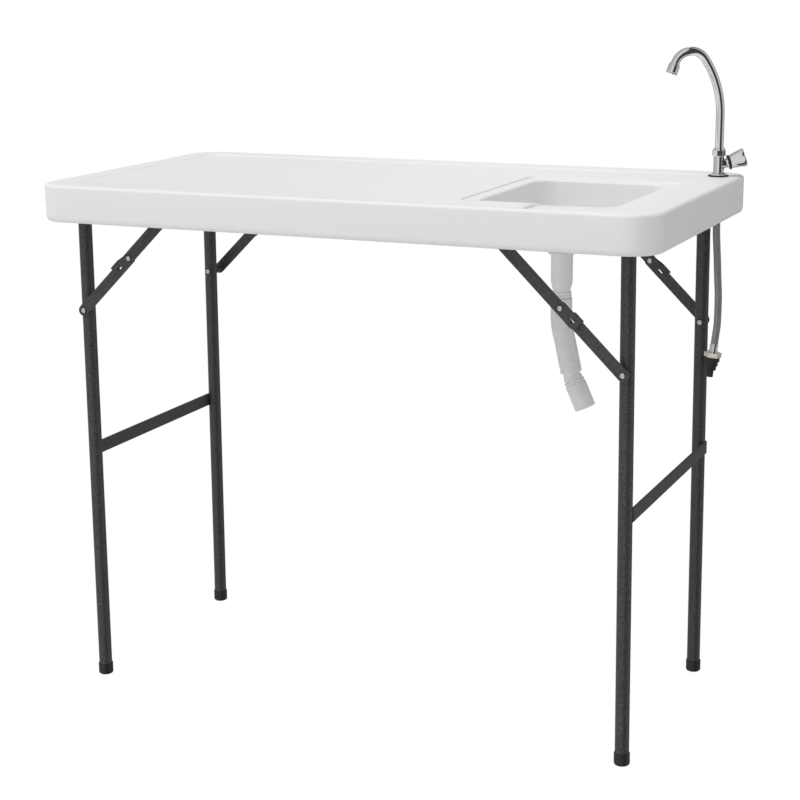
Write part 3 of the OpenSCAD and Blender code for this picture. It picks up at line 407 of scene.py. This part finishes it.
rib_tree, r_in, r_out = geometry_tree(
    "ribs_along_a_hose",
    [("Ribs", "NodeSocketInt", 54), ("Core radius", NUMBER, 0.0178), ("Rib radius", NUMBER, 0.0172),
     ("Rib thickness", NUMBER, 0.0012), ("Plastic", "NodeSocketMaterial", None)])
core_circle = add(rib_tree, "GeometryNodeCurvePrimitiveCircle",
                  {"Radius": r_in.outputs["Core radius"], "Resolution": 40})
core = add(rib_tree, "GeometryNodeCurveToMesh", {"Curve": r_in.outputs["Geometry"],
                                                 "Profile Curve": core_circle.outputs[0]})
stations = add(rib_tree, "GeometryNodeCurveToPoints", {"Curve": r_in.outputs["Geometry"],
                                                       "Count": r_in.outputs["Ribs"]})
rib_circle = add(rib_tree, "GeometryNodeCurvePrimitiveCircle",
                 {"Radius": r_in.outputs["Rib radius"], "Resolution": 40})
rib_round = add(rib_tree, "GeometryNodeCurvePrimitiveCircle",
                {"Radius": r_in.outputs["Rib thickness"], "Resolution": 10})
rib = add(rib_tree, "GeometryNodeCurveToMesh", {"Curve": rib_circle.outputs[0],
                                                "Profile Curve": rib_round.outputs[0]})
ribs = add(rib_tree, "GeometryNodeInstanceOnPoints", {
    "Points": stations.outputs["Points"], "Instance": rib.outputs[0],
    "Rotation": stations.outputs["Rotation"]})
both = add(rib_tree, "GeometryNodeJoinGeometry")
rib_tree.links.new(core.outputs[0], both.inputs[0])
rib_tree.links.new(ribs.outputs[0], both.inputs[0])
real = add(rib_tree, "GeometryNodeRealizeInstances", {0: both.outputs[0]})
coat = add(rib_tree, "GeometryNodeSetMaterial", {"Geometry": real.outputs[0],
                                                 "Material": r_in.outputs["Plastic"]})
rib_tree.links.new(coat.outputs[0], r_out.inputs[0])
ribbed = grow("ribs", poly_curve("ribs", hose_line), rib_tree, {"Plastic": pale_hose})
print("ribbed mesh:", len(ribbed.vertices), "points")


# %% Cuffs and the whole hose
def mesh_part(mesh):
    return [v.co.copy() for v in mesh.vertices], [list(f.vertices) for f in mesh.polygons]


def millimetre(profile):
    return [(r * MM, z * MM) for r, z in profile]


upper_cuff = spin(millimetre([
    (16.1, 84), (16.1, 81), (23.4, 81), (24, 80.4), (24, 77.6), (23.4, 77), (19.4, 76.5), (18.5, 75),
    (18.5, 29), (18.2, 27.6), (16.6, 21), (14.9, 15.2), (14.6, 13.4), (14.9, 12.6), (16.6, 11.8),
    (17, 11.2), (17, 9.2), (16.6, 8.6), (15.6, 8), (15.6, 6.8), (16.6, 6.2), (17, 5.6), (17, 3),
    (16.6, 2.4), (15.4, 2), (15.4, 1), (17.2, 0.6), (17.8, -0.4), (12, -0.5), (12, 28), (16.1, 32),
    (16.1, 81)]), 56)
neck = place_part(spin(millimetre([
    (12, -3), (17.8, -3), (18.3, -1.5), (18.4, 0.2), (17.8, 1), (15.2, 1.6), (14.6, 2.6), (14.5, 12),
    (12, 12), (12, -3)]), 56),
    axis_matrix(hose_end, hose_way))
outlet_root = hose_end + hose_way * 0.007
outlet = place_part(spin(millimetre([
    (12, 0), (14.6, 0), (15.4, 0.8), (15.5, 3.8), (16.4, 4.2), (16.5, 6.6), (16.2, 7), (15.5, 7.4),
    (15.5, 8.6), (17.6, 9.1), (18.1, 9.6), (18.1, 11.5), (17.6, 12), (15.9, 12.4), (15.9, 13.4),
    (17.4, 14.2), (18.1, 15.4), (18.25, 58.6), (17.9, 59.6), (17.0, 60), (15.5, 60), (15, 59.4),
    (15, 16), (12, 14), (12, 0)]), 56), axis_matrix(outlet_root, outlet_way))
waste_hose = build("waste_hose", [
    mesh_part(ribbed), place_part(upper_cuff, Matrix.Translation(drain)), neck, outlet],
    "tabletop", angle=40, weld=1e-6)
wear(waste_hose, pale_hose)
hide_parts("drain_hose", "drain_cuff", "outlet_cuff")

# %% [markdown]
# ## Rivets and bolts
# The braces are held by semi-tubular rivets: a rim, a bright dome and a crater in its
# middle. The rim is given the black finish as painted shade, the dark shadow ring round each head.
# One rivet is turned on the lathe, and Geometry Nodes puts a copy on each point,
# turned to the way that the point carries with it.

# %% Rivets by Geometry Nodes
rivet_tree, v_in, v_out = geometry_tree(
    "rivets_on_points", [("Rivet", "NodeSocketObject", None), ("Metal", "NodeSocketMaterial", None)])
pattern = add(rivet_tree, "GeometryNodeObjectInfo", {"Object": v_in.outputs["Rivet"]})
way = add(rivet_tree, "GeometryNodeInputNamedAttribute", {"Name": "way"}, data_type="FLOAT_VECTOR")
aim = add(rivet_tree, "FunctionNodeAlignRotationToVector", {"Vector": way.outputs["Attribute"]},
          axis="Z")
copies = add(rivet_tree, "GeometryNodeInstanceOnPoints", {
    "Points": v_in.outputs["Geometry"], "Instance": pattern.outputs["Geometry"],
    "Rotation": aim.outputs[0]})
real = add(rivet_tree, "GeometryNodeRealizeInstances", {0: copies.outputs[0]})
plate = add(rivet_tree, "GeometryNodeSetMaterial", {"Geometry": real.outputs[0],
                                                    "Material": v_in.outputs["Metal"]})
rivet_tree.links.new(plate.outputs[0], v_out.inputs[0])

HEAD = [(0, 0.5), (1.0, 0.5), (1.7, 0.88), (2.5, 1.0), (3.7, 0.84), (4.5, 0.5), (4.7, 0.34),
        (5.4, 0.34), (5.9, 0.24), (6, 0.1)]
# Radius beyond which a head is painted dark: painted shade of the shadow ring round it
PAINTED_SHADE_RING_FROM = 4.6


def rivet_form(head_h, below):
    """A head of the given height on a shank, given as (radius, height) pairs below it."""
    return spin(millimetre([(r, z * head_h) for r, z in HEAD] + below), 32)


FORMS = {
    "outer_bolt": rivet_form(1.8, [(6, 0), (4, 0), (4, -28), (0, -28)]),
    "inner_bolt": rivet_form(2.4, [(6, -1.2), (4, -1.2), (4, -12), (0, -12)]),
    "middle_rivet": rivet_form(2.1, [(6, 0), (4, 0), (4, -2.65), (7, -2.65), (7, -4.55), (0, -4.55)]),
    "rivet_tail": rivet_form(1.4, [(6, 0), (4, 0), (4, -2.55), (0, -2.55)])}


def fasten(name, body, node, groups):
    """Puts each form on its points (x, y, z, way along Y) and joins them into one piece."""
    merged = bmesh.new()
    for form, points in groups:
        shape = bpy.data.meshes.new(form)
        shape.from_pydata(*(FORMS[form][0], [], FORMS[form][1]))
        pattern_object = bpy.data.objects.new(form, shape)
        bpy.context.scene.collection.objects.link(pattern_object)
        dots = bpy.data.meshes.new(form + "_points")
        dots.from_pydata([Vector(q[:3]) * MM for q in points], [], [])
        ways = dots.attributes.new("way", "FLOAT_VECTOR", "POINT")
        for item, q in zip(ways.data, points):
            item.vector = (0, q[3], 0)
        grown = grow(form, dots, rivet_tree, {"Rivet": pattern_object, "Metal": bright_steel})
        merged.from_mesh(grown)
        bpy.data.objects.remove(pattern_object)
    bmesh.ops.recalc_face_normals(merged, faces=merged.faces)
    mesh = bpy.data.meshes.new(name)
    merged.to_mesh(mesh)
    merged.free()
    mesh.shade_smooth()
    mesh.set_sharp_from_angle(angle=math.radians(50))
    piece = bpy.data.objects.new(name, mesh)
    bpy.context.scene.collection.objects.link(piece)
    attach(piece, body)
    wear(piece, bright_steel, black_plastic)
    x, _, z = groups[0][1][0][:3]
    # Faces beyond that radius take the black finish: painted shade round each head, not a black part
    for face in mesh.polygons:
        far = math.hypot(face.center.x - x * MM, face.center.z - z * MM)
        face.material_index = 1 if far > PAINTED_SHADE_RING_FROM * MM else 0
    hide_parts(node)
    return piece


# %% Place the rivets
PIVOT = {"left": (-506.0, 909.484), "right": (501.0, 877.484)}
LEG_Y = {"left": (-225.0, 207.0), "right": (-218.0, 224.0)}
LEAN, BRACE_B, BRACE_C = math.radians(0.4), 205.0, 208.0
OUTER_BOLT_Y, MIDDLE_Y, TAIL_Y, LEG_R = 242.7, 247.25, 239.95, 12.0
ROWS = (-1, 1)
for side, s in (("left", -1), ("right", 1)):
    a = Vector(PIVOT[side])
    bolt = a + BRACE_B * Vector((s * math.sin(LEAN), -math.cos(LEAN)))
    pin = a - Vector((s * BRACE_C, 0))
    upper = ((bolt - pin).length + BRACE_C - BRACE_B) / 2
    middle = pin + upper * (bolt - pin).normalized()
    fasten(f"{side}_bolts", f"{side}_leg_frame", f"{side}_brace_bolts", [
        ("outer_bolt", [(bolt.x, row * OUTER_BOLT_Y, bolt.y, row) for row in ROWS]),
        ("inner_bolt", [(bolt.x, y - row * LEG_R, bolt.y, -row)
                        for row, y in zip(ROWS, LEG_Y[side])])])
    fasten(f"{side}_rivets", f"{side}_upper_links", f"{side}_middle_rivets", [
        ("middle_rivet", [(middle.x, row * MIDDLE_Y, middle.y, row) for row in ROWS])])
    fasten(f"{side}_tails", f"{side}_lower_links", f"{side}_rivet_tails", [
        ("rivet_tail", [(middle.x, row * TAIL_Y, middle.y, -row) for row in ROWS])])
print("rivets:", len(SIDES) * 3, "pieces")

# %% [markdown]
# ## The supply hose
# A rubber tube in a steel braid, crimped at both ends. The tube follows the route of the
# engineering model, and carries a UV map that runs round and along it, so the braid can be
# drawn as two crossing sets of strands whatever way the hose bends. The crowns of the strands
# are painted bright and the dips between them dark: a painted highlight and painted shade.

# %% Supply hose
supply = Vector((0.525, 0.222, 0.8575))
SUPPLY_ROUTE = [(0, 0, 0), (0, 0, -20), (2, -2, -44), (5, -6, -72), (8, -11, -102),
                (11, -15, -132), (12, -18, -162), (12, -20, -184), (10.5, -21, -201),
                (8.5, -21.5, -219)]
supply_line = [supply + MM * q for q in smooth_line(SUPPLY_ROUTE, 8)]
supply_rings = sweep(supply_line, [0.0065] * len(supply_line), 32)
supply_hose = build("braided_hose", [loft(supply_rings)], "tabletop", angle=60)

braid, b_in, b_out = effect_group(
    "steel_braid", [("Vector", VECTOR, None), ("Strands", NUMBER, 14.0), ("Pitch", NUMBER, 260.0)],
    [("Color", COLOUR), ("Roughness", NUMBER), ("Height", NUMBER)])
split = add(braid, "ShaderNodeSeparateXYZ", {0: b_in.outputs["Vector"]})
round_way = add(braid, "ShaderNodeMath", {0: split.outputs[0], 1: b_in.outputs["Strands"]},
                operation="MULTIPLY")
long_way = add(braid, "ShaderNodeMath", {0: split.outputs[1], 1: b_in.outputs["Pitch"]},
               operation="MULTIPLY")
waves = []
for sign in ("ADD", "SUBTRACT"):
    mixed = add(braid, "ShaderNodeMath", {0: round_way.outputs[0], 1: long_way.outputs[0]},
                operation=sign)
    turned = add(braid, "ShaderNodeMath", {0: mixed.outputs[0], 1: 2 * math.pi},
                 operation="MULTIPLY")
    waves.append(add(braid, "ShaderNodeMath", {0: turned.outputs[0]}, operation="SINE"))
weave = add(braid, "ShaderNodeMath", {0: waves[0].outputs[0], 1: waves[1].outputs[0]},
            operation="MULTIPLY")
level = add(braid, "ShaderNodeMapRange", {"Value": weave.outputs[0], "From Min": -1.0})
# Weave colour: the dark 0.09 in the dips between strands is painted shade, the bright 0.66 on the crowns a
# painted highlight; the crossing pattern is the braid's own
weave_painted_light_and_shade = add(braid, "ShaderNodeMix", {0: level.outputs[0], 6: (0.09, 0.09, 0.093, 1),
                                     7: (0.66, 0.66, 0.66, 1)}, data_type="RGBA")
polish = add(braid, "ShaderNodeMapRange", {"Value": level.outputs[0], "To Min": 0.5, "To Max": 0.25})
braid.links.new(weave_painted_light_and_shade.outputs[2], b_out.inputs["Color"])
braid.links.new(polish.outputs[0], b_out.inputs["Roughness"])
braid.links.new(level.outputs[0], b_out.inputs["Height"])
braid_steel = finish("steel_braid", braid, {}, bump=0.6, depth=0.0006, metallic=0.85)
for link in list(braid_steel.node_tree.links):
    if link.to_socket.name == "Vector":
        source = add(braid_steel.node_tree, "ShaderNodeUVMap", uv_map="wrap")
        braid_steel.node_tree.links.new(source.outputs[0], link.to_socket)


def wrap_uv(piece, line):
    """A UV map that counts turns round the line and metres along it."""
    layer = piece.data.uv_layers.new(name="wrap")
    n, sides = len(line), 32
    run = [0.0]
    for a, b in zip(line, line[1:]):
        run.append(run[-1] + (b - a).length)
    near = {}
    for v in piece.data.vertices:
        near[v.index] = (v.index // sides, v.index % sides)
    for face in piece.data.polygons:
        ks = [near[i][1] for i in face.vertices]
        for loop, i in zip(face.loop_indices, face.vertices):
            ring, k = near[i]
            k = k + sides if k == 0 and max(ks) > sides - 2 and len(face.vertices) == 4 else k
            layer.data[loop].uv = (k / sides, run[min(ring, n - 1)])


wrap_uv(supply_hose, supply_line)
wear(supply_hose, braid_steel)
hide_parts("supply_hose")

# %% [markdown]
# ## The moulded top
# The top is one blow-moulded shell. Seen from above it is a set of nested rounded outlines:
# the outer edge, the shallow work area, the ledge round the sink, the lowered lip at the
# front and the sink itself. So its upper skin is triangulated in plan between those outlines,
# and each point gets its height from a soft step at every outline. Rings of points then carry
# the skin round the edge, down the skirt and into the sink, and everything is welded shut.

# %% Outlines and heights of the top
TOP, UNDER, SKIRT_LOW = 935.0, 927.5, 870.0
OUTER = (-565.0, -295.0, 565.0, 295.0, 55.0)
SINK = (234.0, -198.5, 468.0, 111.5, 32.0)
FAUCET_HOLE = (525.0, 222.0, 10.1)
# outline, depth below the border, half the width of its soft step
RECESSES = [((-522.0, -223.0, 498.0, 243.0, 14.0), 2.0, 2.2),
            ((208.0, -206.5, 490.0, 129.5, 14.0), 4.5, 1.8),
            ((347.0, -286.0, 490.0, -170.5, 7.0), 4.5, 1.8)]
CORNER_STEPS = 12


def outline(rect, grow_by=0.0):
    """The rounded rectangle's points, grown or shrunk, always equally many."""
    x0, y0, x1, y1, r = rect
    r = max(r + grow_by, 0.5)
    x0, y0, x1, y1 = x0 - grow_by, y0 - grow_by, x1 + grow_by, y1 + grow_by
    return [(cx + r * math.cos(math.radians(a)), cy + r * math.sin(math.radians(a)))
            for cx, cy, a0 in ((x1 - r, y1 - r, 0), (x0 + r, y1 - r, 90), (x0 + r, y0 + r, 180),
                               (x1 - r, y0 + r, 270))
            for a in (a0 + 90 * k / CORNER_STEPS for k in range(CORNER_STEPS + 1))]


def distance(p, rect):
    """Distance to a rounded rectangle, negative inside it."""
    x0, y0, x1, y1, r = rect
    qx = abs(p[0] - (x0 + x1) / 2) - (x1 - x0) / 2 + r
    qy = abs(p[1] - (y0 + y1) / 2) - (y1 - y0) / 2 + r
    return math.hypot(max(qx, 0), max(qy, 0)) + min(max(qx, qy), 0) - r


def top_height(p):
    power = 0.0
    for rect, depth, soft in RECESSES:
        t = min(max((soft - distance(p, rect)) / (2 * soft), 0), 1)
        power += (depth * t * t * (3 - 2 * t)) ** 6
    return TOP - power ** (1 / 6)


def hole_circle(steps=32):
    x, y, r = FAUCET_HOLE
    return [(x + r * math.cos(2 * math.pi * k / steps), y + r * math.sin(2 * math.pi * k / steps))
            for k in range(steps)]


def plan_skin(loops, keep, height):
    """Triangles between closed outlines, with a height at each point."""
    points, edges = [], []
    for loop in loops:
        base = len(points)
        points += [Vector(p) for p in loop]
        edges += [(base + k, base + (k + 1) % len(loop)) for k in range(len(loop))]
    points += [Vector((x, y)) for x in range(-540, 541, 30) for y in range(-270, 271, 30)]
    found, _, faces = delaunay_2d_cdt(points, edges, [], 0, 1e-4)[:3]
    kept = [f for f in faces if keep(sum((found[i] for i in f), Vector((0, 0))) / len(f))]
    return [Vector((p[0] * MM, p[1] * MM, height(p) * MM)) for p in found], kept


# %% Build the top
EDGE_R, RIM_R, WALL = 6.0, 5.0, 4.0
top_loops = [outline(OUTER, -EDGE_R), outline(SINK, RIM_R), hole_circle()]
for rect, depth, soft in RECESSES:
    top_loops += [outline(rect, soft * k / 3) for k in (-3, -2, -1, 0, 1, 2, 3)]
upper_skin = plan_skin(top_loops, lambda p: distance(p, OUTER) < -EDGE_R
                       and distance(p, SINK) > RIM_R
                       and math.hypot(p[0] - 525, p[1] - 222) > 10.1 * 0.999, top_height)
lower_skin = plan_skin([outline(OUTER, -WALL), outline(SINK, WALL), hole_circle()],
                       lambda p: distance(p, OUTER) < -WALL and distance(p, SINK) > WALL
                       and math.hypot(p[0] - 525, p[1] - 222) > 10.1 * 0.999, lambda p: UNDER)


def ring(rect, grow_by, z):
    return [Vector((x * MM, y * MM, (z if z is not None else top_height((x, y))) * MM))
            for x, y in outline(rect, grow_by)]


quarter = [math.radians(a) for a in (0, 15, 30, 45, 60, 75, 90)]
skirt = [ring(OUTER, -EDGE_R, None)]
skirt += [ring(OUTER, EDGE_R * (math.sin(a) - 1), TOP - EDGE_R * (1 - math.cos(a)))
          for a in quarter[1:]]
skirt += [ring(OUTER, g, z) for g, z in ((0, 905), (0, 881), (-0.1, 878.4), (-0.6, 875.6),
                                         (-1.5, 873.2), (-2.8, 871.3), (-4.4, 870.2), (-5.8, 870),
                                         (-7, 870.6), (-7.6, 872), (-7.4, 873.8), (-6.2, 876),
                                         (-4.6, 879), (-4, 884), (-4, 905), (-4, UNDER))]
FLOOR = TOP - 73
bowl = [ring(SINK, RIM_R, None)]
bowl += [ring(SINK, RIM_R * (1 - math.sin(a)), TOP - 4.5 - RIM_R * (1 - math.cos(a)))
         for a in quarter[1:]]
bowl += [ring(SINK, -0.8, 905), ring(SINK, -1.6, FLOOR + 16)]
bowl += [ring(SINK, -1.6 - 14 * (1 - math.cos(a)), FLOOR + 14 * (1 - math.sin(a)) + 0.6)
         for a in quarter[1:]]


def drain_ring(radius, z):
    """A circle round the drain whose points match those of the sink's outline."""
    ways = [math.atan2(y + 44.5, x - 330) for x, y in outline(SINK, -20)]
    return [Vector(((330 + radius * math.cos(a)) * MM, (-44.5 + radius * math.sin(a)) * MM, z * MM))
            for a in ways]


bowl += [drain_ring(60, FLOOR + 0.2), drain_ring(28, FLOOR), drain_ring(16.1, FLOOR),
         drain_ring(16.1, FLOOR - WALL), drain_ring(28, FLOOR - WALL), drain_ring(60, FLOOR - WALL)]
bowl += [ring(SINK, WALL - 14 * math.sin(a), FLOOR - WALL + 14 * (1 - math.cos(a)))
         for a in quarter[::-1]]
bowl += [ring(SINK, WALL, 905), ring(SINK, WALL, UNDER)]
stud_hole = loft([[Vector((x * MM, y * MM, z * MM)) for x, y in hole_circle()]
                  for z in (TOP, UNDER)], caps=False)


def rib_box(x0, y0, x1, y1):
    rings = [[Vector((x * MM, y * MM, z * MM)) for x, y in ((x0 + t, y0 + t), (x1 - t, y0 + t),
                                                         (x1 - t, y1 - t), (x0 + t, y1 - t))]
             for z, t in ((UNDER + 1, 0), (917, 0), (915.5, 0.8))]
    return loft(rings)


RIB_X0, RIB_X1, RIB_Y = -468.0, 218.0, 179.0
stiffeners = [rib_box(RIB_X0, y - 2, RIB_X1, y + 2) for y in (-RIB_Y, 0, RIB_Y)]
stiffeners += [rib_box(x, -RIB_Y, x + 4, RIB_Y)
               for x in (RIB_X0 + (RIB_X1 - RIB_X0 - 4) * k / 4 for k in range(5))]
moulded_top = build("moulded_top", [upper_skin, lower_skin, loft(skirt, caps=False),
                                    loft(bowl, caps=False), stud_hole] + stiffeners,
                    "tabletop", angle=50, weld=2e-5)
wear(moulded_top, white_top)
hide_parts("worktop")

print("top:", len(moulded_top.data.polygons), "faces")

# %% [markdown]
# ## The spout
# A chromed tube bent by hand over two formers: a slow curve, then a tight hook. A tube swept
# along the same arcs stays round and smooth everywhere.

# %% Spout
faucet = Vector((0.525, 0.222, 0.0))
spout_way = Vector((math.cos(math.radians(205)), math.sin(math.radians(205)), 0))
RISER_Z, R1, A1, R2, A2 = 1042.0, 174.0, 34.0, 29.0, 163.0


def spout_point(out, z):
    return faucet + spout_way * out * MM + Vector((0, 0, z * MM))


spout_line = [spout_point(0, 975.5 + (RISER_Z - 975.5) * k / 6) for k in range(6)]
for k in range(13):
    a = math.radians(A1 * k / 12)
    spout_line.append(spout_point(R1 * (1 - math.cos(a)), RISER_Z + R1 * math.sin(a)))
a1 = math.radians(A1)
hook_x = R1 * (1 - math.cos(a1)) + R2 * math.cos(a1)
hook_z = RISER_Z + R1 * math.sin(a1) - R2 * math.sin(a1)
for k in range(1, 29):
    a = math.radians(A1 + (A2 - A1) * k / 28)
    spout_line.append(spout_point(hook_x - R2 * math.cos(a), hook_z + R2 * math.sin(a)))
spout_tube = build("spout_tube", [loft(sweep(spout_line, [0.0075] * len(spout_line), 40))], "spout",
                   angle=60)
wear(spout_tube, chrome)
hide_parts("spout")
tip, tip_way = spout_line[-1], (spout_line[-1] - spout_line[-2]).normalized()
aerator = build("spout_aerator", [place_part(spin(millimetre([
    (7.6, 0), (8.6, 0), (9, 0.4), (9, 2.6), (8.8, 3), (9.7, 3.4), (10, 3.9), (10, 15.4), (9.7, 15.9),
    (9.5, 16.2), (9.7, 16.5), (10, 17), (10, 18.4), (9.6, 19), (8.2, 19), (7.8, 18.6), (7.4, 16.5),
    (0, 16.5)]), 48), axis_matrix(tip, tip_way))], "spout", angle=30)
wear(aerator, chrome)
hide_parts("aerator")
print("spout tip at", tuple(round(x, 3) for x in tip))

# %% [markdown]
# ## Faucet body, collar nut and bonnet
# These are turned brass parts under chrome. Each is a lathe profile with small rounded
# corners, because a polished edge is only seen through the highlight on its rounding.

# %% Faucet body
BODY_Z, COLLAR_Z = 937.0, 971.0
body = build("faucet_column", [place_part(spin(millimetre([
    (0, 885.5), (9.6, 885.5), (10, 886.3)] + [(r, 887 + k * 1.5 + d) for k in range(26)
                                              for r, d in ((10, 0), (9.35, 0.75))] + [
    (10, 936.8), (13.4, 937), (14, 937.6), (14, 938.9), (13.4, 939.7), (11, 940.3), (9.8, 941.4),
    (9.25, 943), (9.25, 969), (9, 970.4), (8.4, 971), (0, 971)]), 56), Matrix.Translation(faucet))],
    "tabletop", angle=35)
wear(body, chrome)
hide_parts("faucet_body")


def prism(radius, sides, z0, z1, chamfer):
    """A nut blank: flats with its corners turned off at both ends."""
    rings = []
    for z, cut in ((z0, chamfer), (z0 + chamfer * 0.7, 0), (z1 - chamfer * 0.7, 0), (z1, chamfer)):
        ringed = []
        for k in range(sides * 8):
            a = 2 * math.pi * k / (sides * 8)
            flat = radius * math.cos(math.pi / sides) / math.cos(
                (a % (2 * math.pi / sides)) - math.pi / sides)
            r = min(flat, radius - cut * 0.9 - (radius - radius * math.cos(math.pi / sides)) * (cut > 0))
            ringed.append(Vector((r * math.cos(a), r * math.sin(a), z)) * MM)
        rings.append(ringed)
    return loft(rings)


collar = build("collar", [place_part(prism(12, 8, COLLAR_Z, COLLAR_Z + 10, 0.9), Matrix.Translation(faucet)),
                          place_part(spin(millimetre([
                              (0, 979), (10.8, 979), (10.8, 981), (10.2, 982), (9.2, 984), (8.6, 985),
                              (7.6, 985.2), (0, 985.2)]), 48), Matrix.Translation(faucet))],
               "tabletop", angle=20)
wear(collar, chrome)
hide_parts("collar_nut")
print("column and collar made")

# %% [markdown]
# ## The valve knob
# A cast knob that flares outwards and has three lobes between three scooped grooves. Its
# outline is a circle whose radius falls in three places, deeper towards the outer end.

# %% Knob and bonnet
valve_axis = Vector((math.cos(math.radians(16)) * math.cos(math.radians(25)),
                     math.cos(math.radians(16)) * math.sin(math.radians(25)),
                     math.sin(math.radians(16))))
valve_root = faucet + Vector((0, 0, (BODY_Z + 17) * MM))
valve_frame = axis_matrix(valve_root, valve_axis, (0, 0, -1))
bonnet = build("valve_neck", [place_part(spin(millimetre([
    (0, 4), (8, 4), (8, 12.6), (7.6, 13.4), (8, 14.2), (8, 16.9), (7.4, 17.7), (3.5, 17.75), (3.5, 31.5),
    (0, 31.7)]), 48), valve_frame)], "tabletop")
wear(bonnet, chrome)
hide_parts("valve_bonnet")


def knob_radius(angle, t):
    base = 12.0 + (17.6 - 12.0) * t ** 0.9
    lobe = (0.5 + 0.5 * math.cos(3 * angle)) ** 1.5
    return base - (0.8 + 4.6 * t) * lobe


KNOB_LOW, KNOB_L = 20.45, 27.0
knob_rings = []
for t, shrink in ((0.0, 2.0), (0.0, 0.6), (0.02, 0.1), (0.06, 0), (0.2, 0), (0.35, 0), (0.5, 0), (0.65, 0),
                  (0.8, 0), (0.92, 0), (0.97, 0.4), (0.995, 1.3), (1.0, 2.8), (0.985, 6.0), (0.97, 10.0)):
    knob_rings.append([Vector(((knob_radius(a, t) - shrink) * math.cos(a),
                               (knob_radius(a, t) - shrink) * math.sin(a),
                               KNOB_LOW + KNOB_L * t)) * MM
                       for a in (2 * math.pi * k / 96 for k in range(96))])
knob = build("knob", [place_part(loft(knob_rings), valve_frame)], "valve_knob", angle=50)
wear(knob, chrome)
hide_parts("valve_knob")
print("knob:", len(knob.data.polygons), "faces")

# %% [markdown]
# ## Light, floor and backdrop
# The photograph is a catalogue picture on white. A soft sun from above gives the bright top,
# a low lamp in front lifts the long side above the right end, and the sky fills the rest.
# The camera sees plain white behind the table. A mirror sees a striped studio instead: dark
# flags between white panels, because chrome among white walls only would look like plaster.

# %% Light and floor
def stage_lamp(name, kind, energy, way, **settings):
    lamp = bpy.data.objects.new(name, bpy.data.lights.new(name, kind))
    bpy.context.scene.collection.objects.link(lamp)
    lamp.data.energy = energy
    for key, value in settings.items():
        setattr(lamp.data, key, value)
    lamp.rotation_mode = "QUATERNION"
    lamp.rotation_quaternion = Vector(way).to_track_quat("Z", "Y")
    return lamp


bpy.context.scene.view_settings.view_transform = "Standard"
soft_sun = stage_lamp("soft_sun", "SUN", 1.75, (-0.3, -0.26, 1.0), angle=math.radians(50))
soft_sun.visible_glossy = False
low_fill = stage_lamp("low_fill", "AREA", 18.0, (-0.3, -1.0, -0.55), shape="RECTANGLE", size=3.0,
                      size_y=1.2)
low_fill.location = (-0.9, -2.6, 0.12)
low_fill.visible_camera = False
low_fill.visible_glossy = False

floor_mesh = bpy.data.meshes.new("floor")
floor_mesh.from_pydata([(-30, -30, 0), (30, -30, 0), (30, 30, 0), (-30, 30, 0)], [], [(0, 1, 2, 3)])
floor = bpy.data.objects.new("floor", floor_mesh)
bpy.context.scene.collection.objects.link(floor)
floor_paint = bpy.data.materials.new("studio_floor")
floor_paint.use_nodes = True
paper = floor_paint.node_tree
paper.nodes.clear()
ray = add(paper, "ShaderNodeLightPath")
matt = add(paper, "ShaderNodeBsdfDiffuse", {"Color": (0.62, 0.62, 0.62, 1)})
seen_white = add(paper, "ShaderNodeEmission", {"Color": (1, 1, 1, 1), "Strength": 1.02})
open_to_sky = add(paper, "ShaderNodeBsdfTransparent")
share = add(paper, "ShaderNodeMath", {0: ray.outputs["Is Camera Ray"], 1: 0.97},
            operation="MULTIPLY")
to_camera = add(paper, "ShaderNodeMixShader", {0: share.outputs[0], 1: matt.outputs[0],
                                               2: seen_white.outputs[0]})
to_mirror = add(paper, "ShaderNodeMixShader", {0: ray.outputs["Is Glossy Ray"],
                                               1: to_camera.outputs[0], 2: open_to_sky.outputs[0]})
add(paper, "ShaderNodeOutputMaterial", {0: to_mirror.outputs[0]})
wear(floor, floor_paint)
print("lamps and floor ready")

# %% [markdown]
# ## The sky and the striped studio
# The stripes stand at fixed turns round the upright axis, counted from the camera's side.
# A radial gradient gives that turn, and a colour ramp paints the panels and flags.

# %% Sky
world = bpy.data.worlds.new("studio")
bpy.context.scene.world = world
world.use_nodes = True
sky = world.node_tree
sky.nodes.clear()
ray = add(sky, "ShaderNodeLightPath")
where = add(sky, "ShaderNodeTexCoord")
facing = add(sky, "ShaderNodeMapping", {"Vector": where.outputs["Generated"],
                                        "Rotation": (0, 0, -math.atan2(back.y, back.x))})
turn = add(sky, "ShaderNodeTexGradient", {0: facing.outputs[0]}, gradient_type="RADIAL")
panels = add(sky, "ShaderNodeValToRGB", {0: turn.outputs["Fac"]})
stops = panels.color_ramp.elements
# turn from behind the table, through the left, the camera, the right, and back; brightness
for position, grey in ((0.0, 0.35), (0.15, 0.5), (0.3, 0.5), (0.44, 0.75), (0.49, 0.72), (0.515, 0.06),
                       (0.62, 0.03), (0.66, 0.3), (0.7, 0.6), (0.78, 0.62), (0.82, 0.25), (0.95, 0.2),
                       (1.0, 0.35)):
    stop = stops.new(position)
    stop.color = (grey, grey, grey * 0.985, 1)
stops.remove(stops[0])
stops.remove(stops[len(stops) - 1])
mirrored = add(sky, "ShaderNodeBackground", {"Color": panels.outputs[0], "Strength": 1.0})
fill = add(sky, "ShaderNodeBackground", {"Color": (1, 1, 1, 1), "Strength": 0.54})
white = add(sky, "ShaderNodeBackground", {"Color": (1, 1, 1, 1), "Strength": 1.02})
not_mirror = add(sky, "ShaderNodeMixShader", {0: ray.outputs["Is Camera Ray"],
                                              1: fill.outputs[0], 2: white.outputs[0]})
sky_mix = add(sky, "ShaderNodeMixShader", {0: ray.outputs["Is Glossy Ray"],
                                           1: not_mirror.outputs[0], 2: mirrored.outputs[0]})
add(sky, "ShaderNodeOutputWorld", {0: sky_mix.outputs[0]})
print("sky ready")
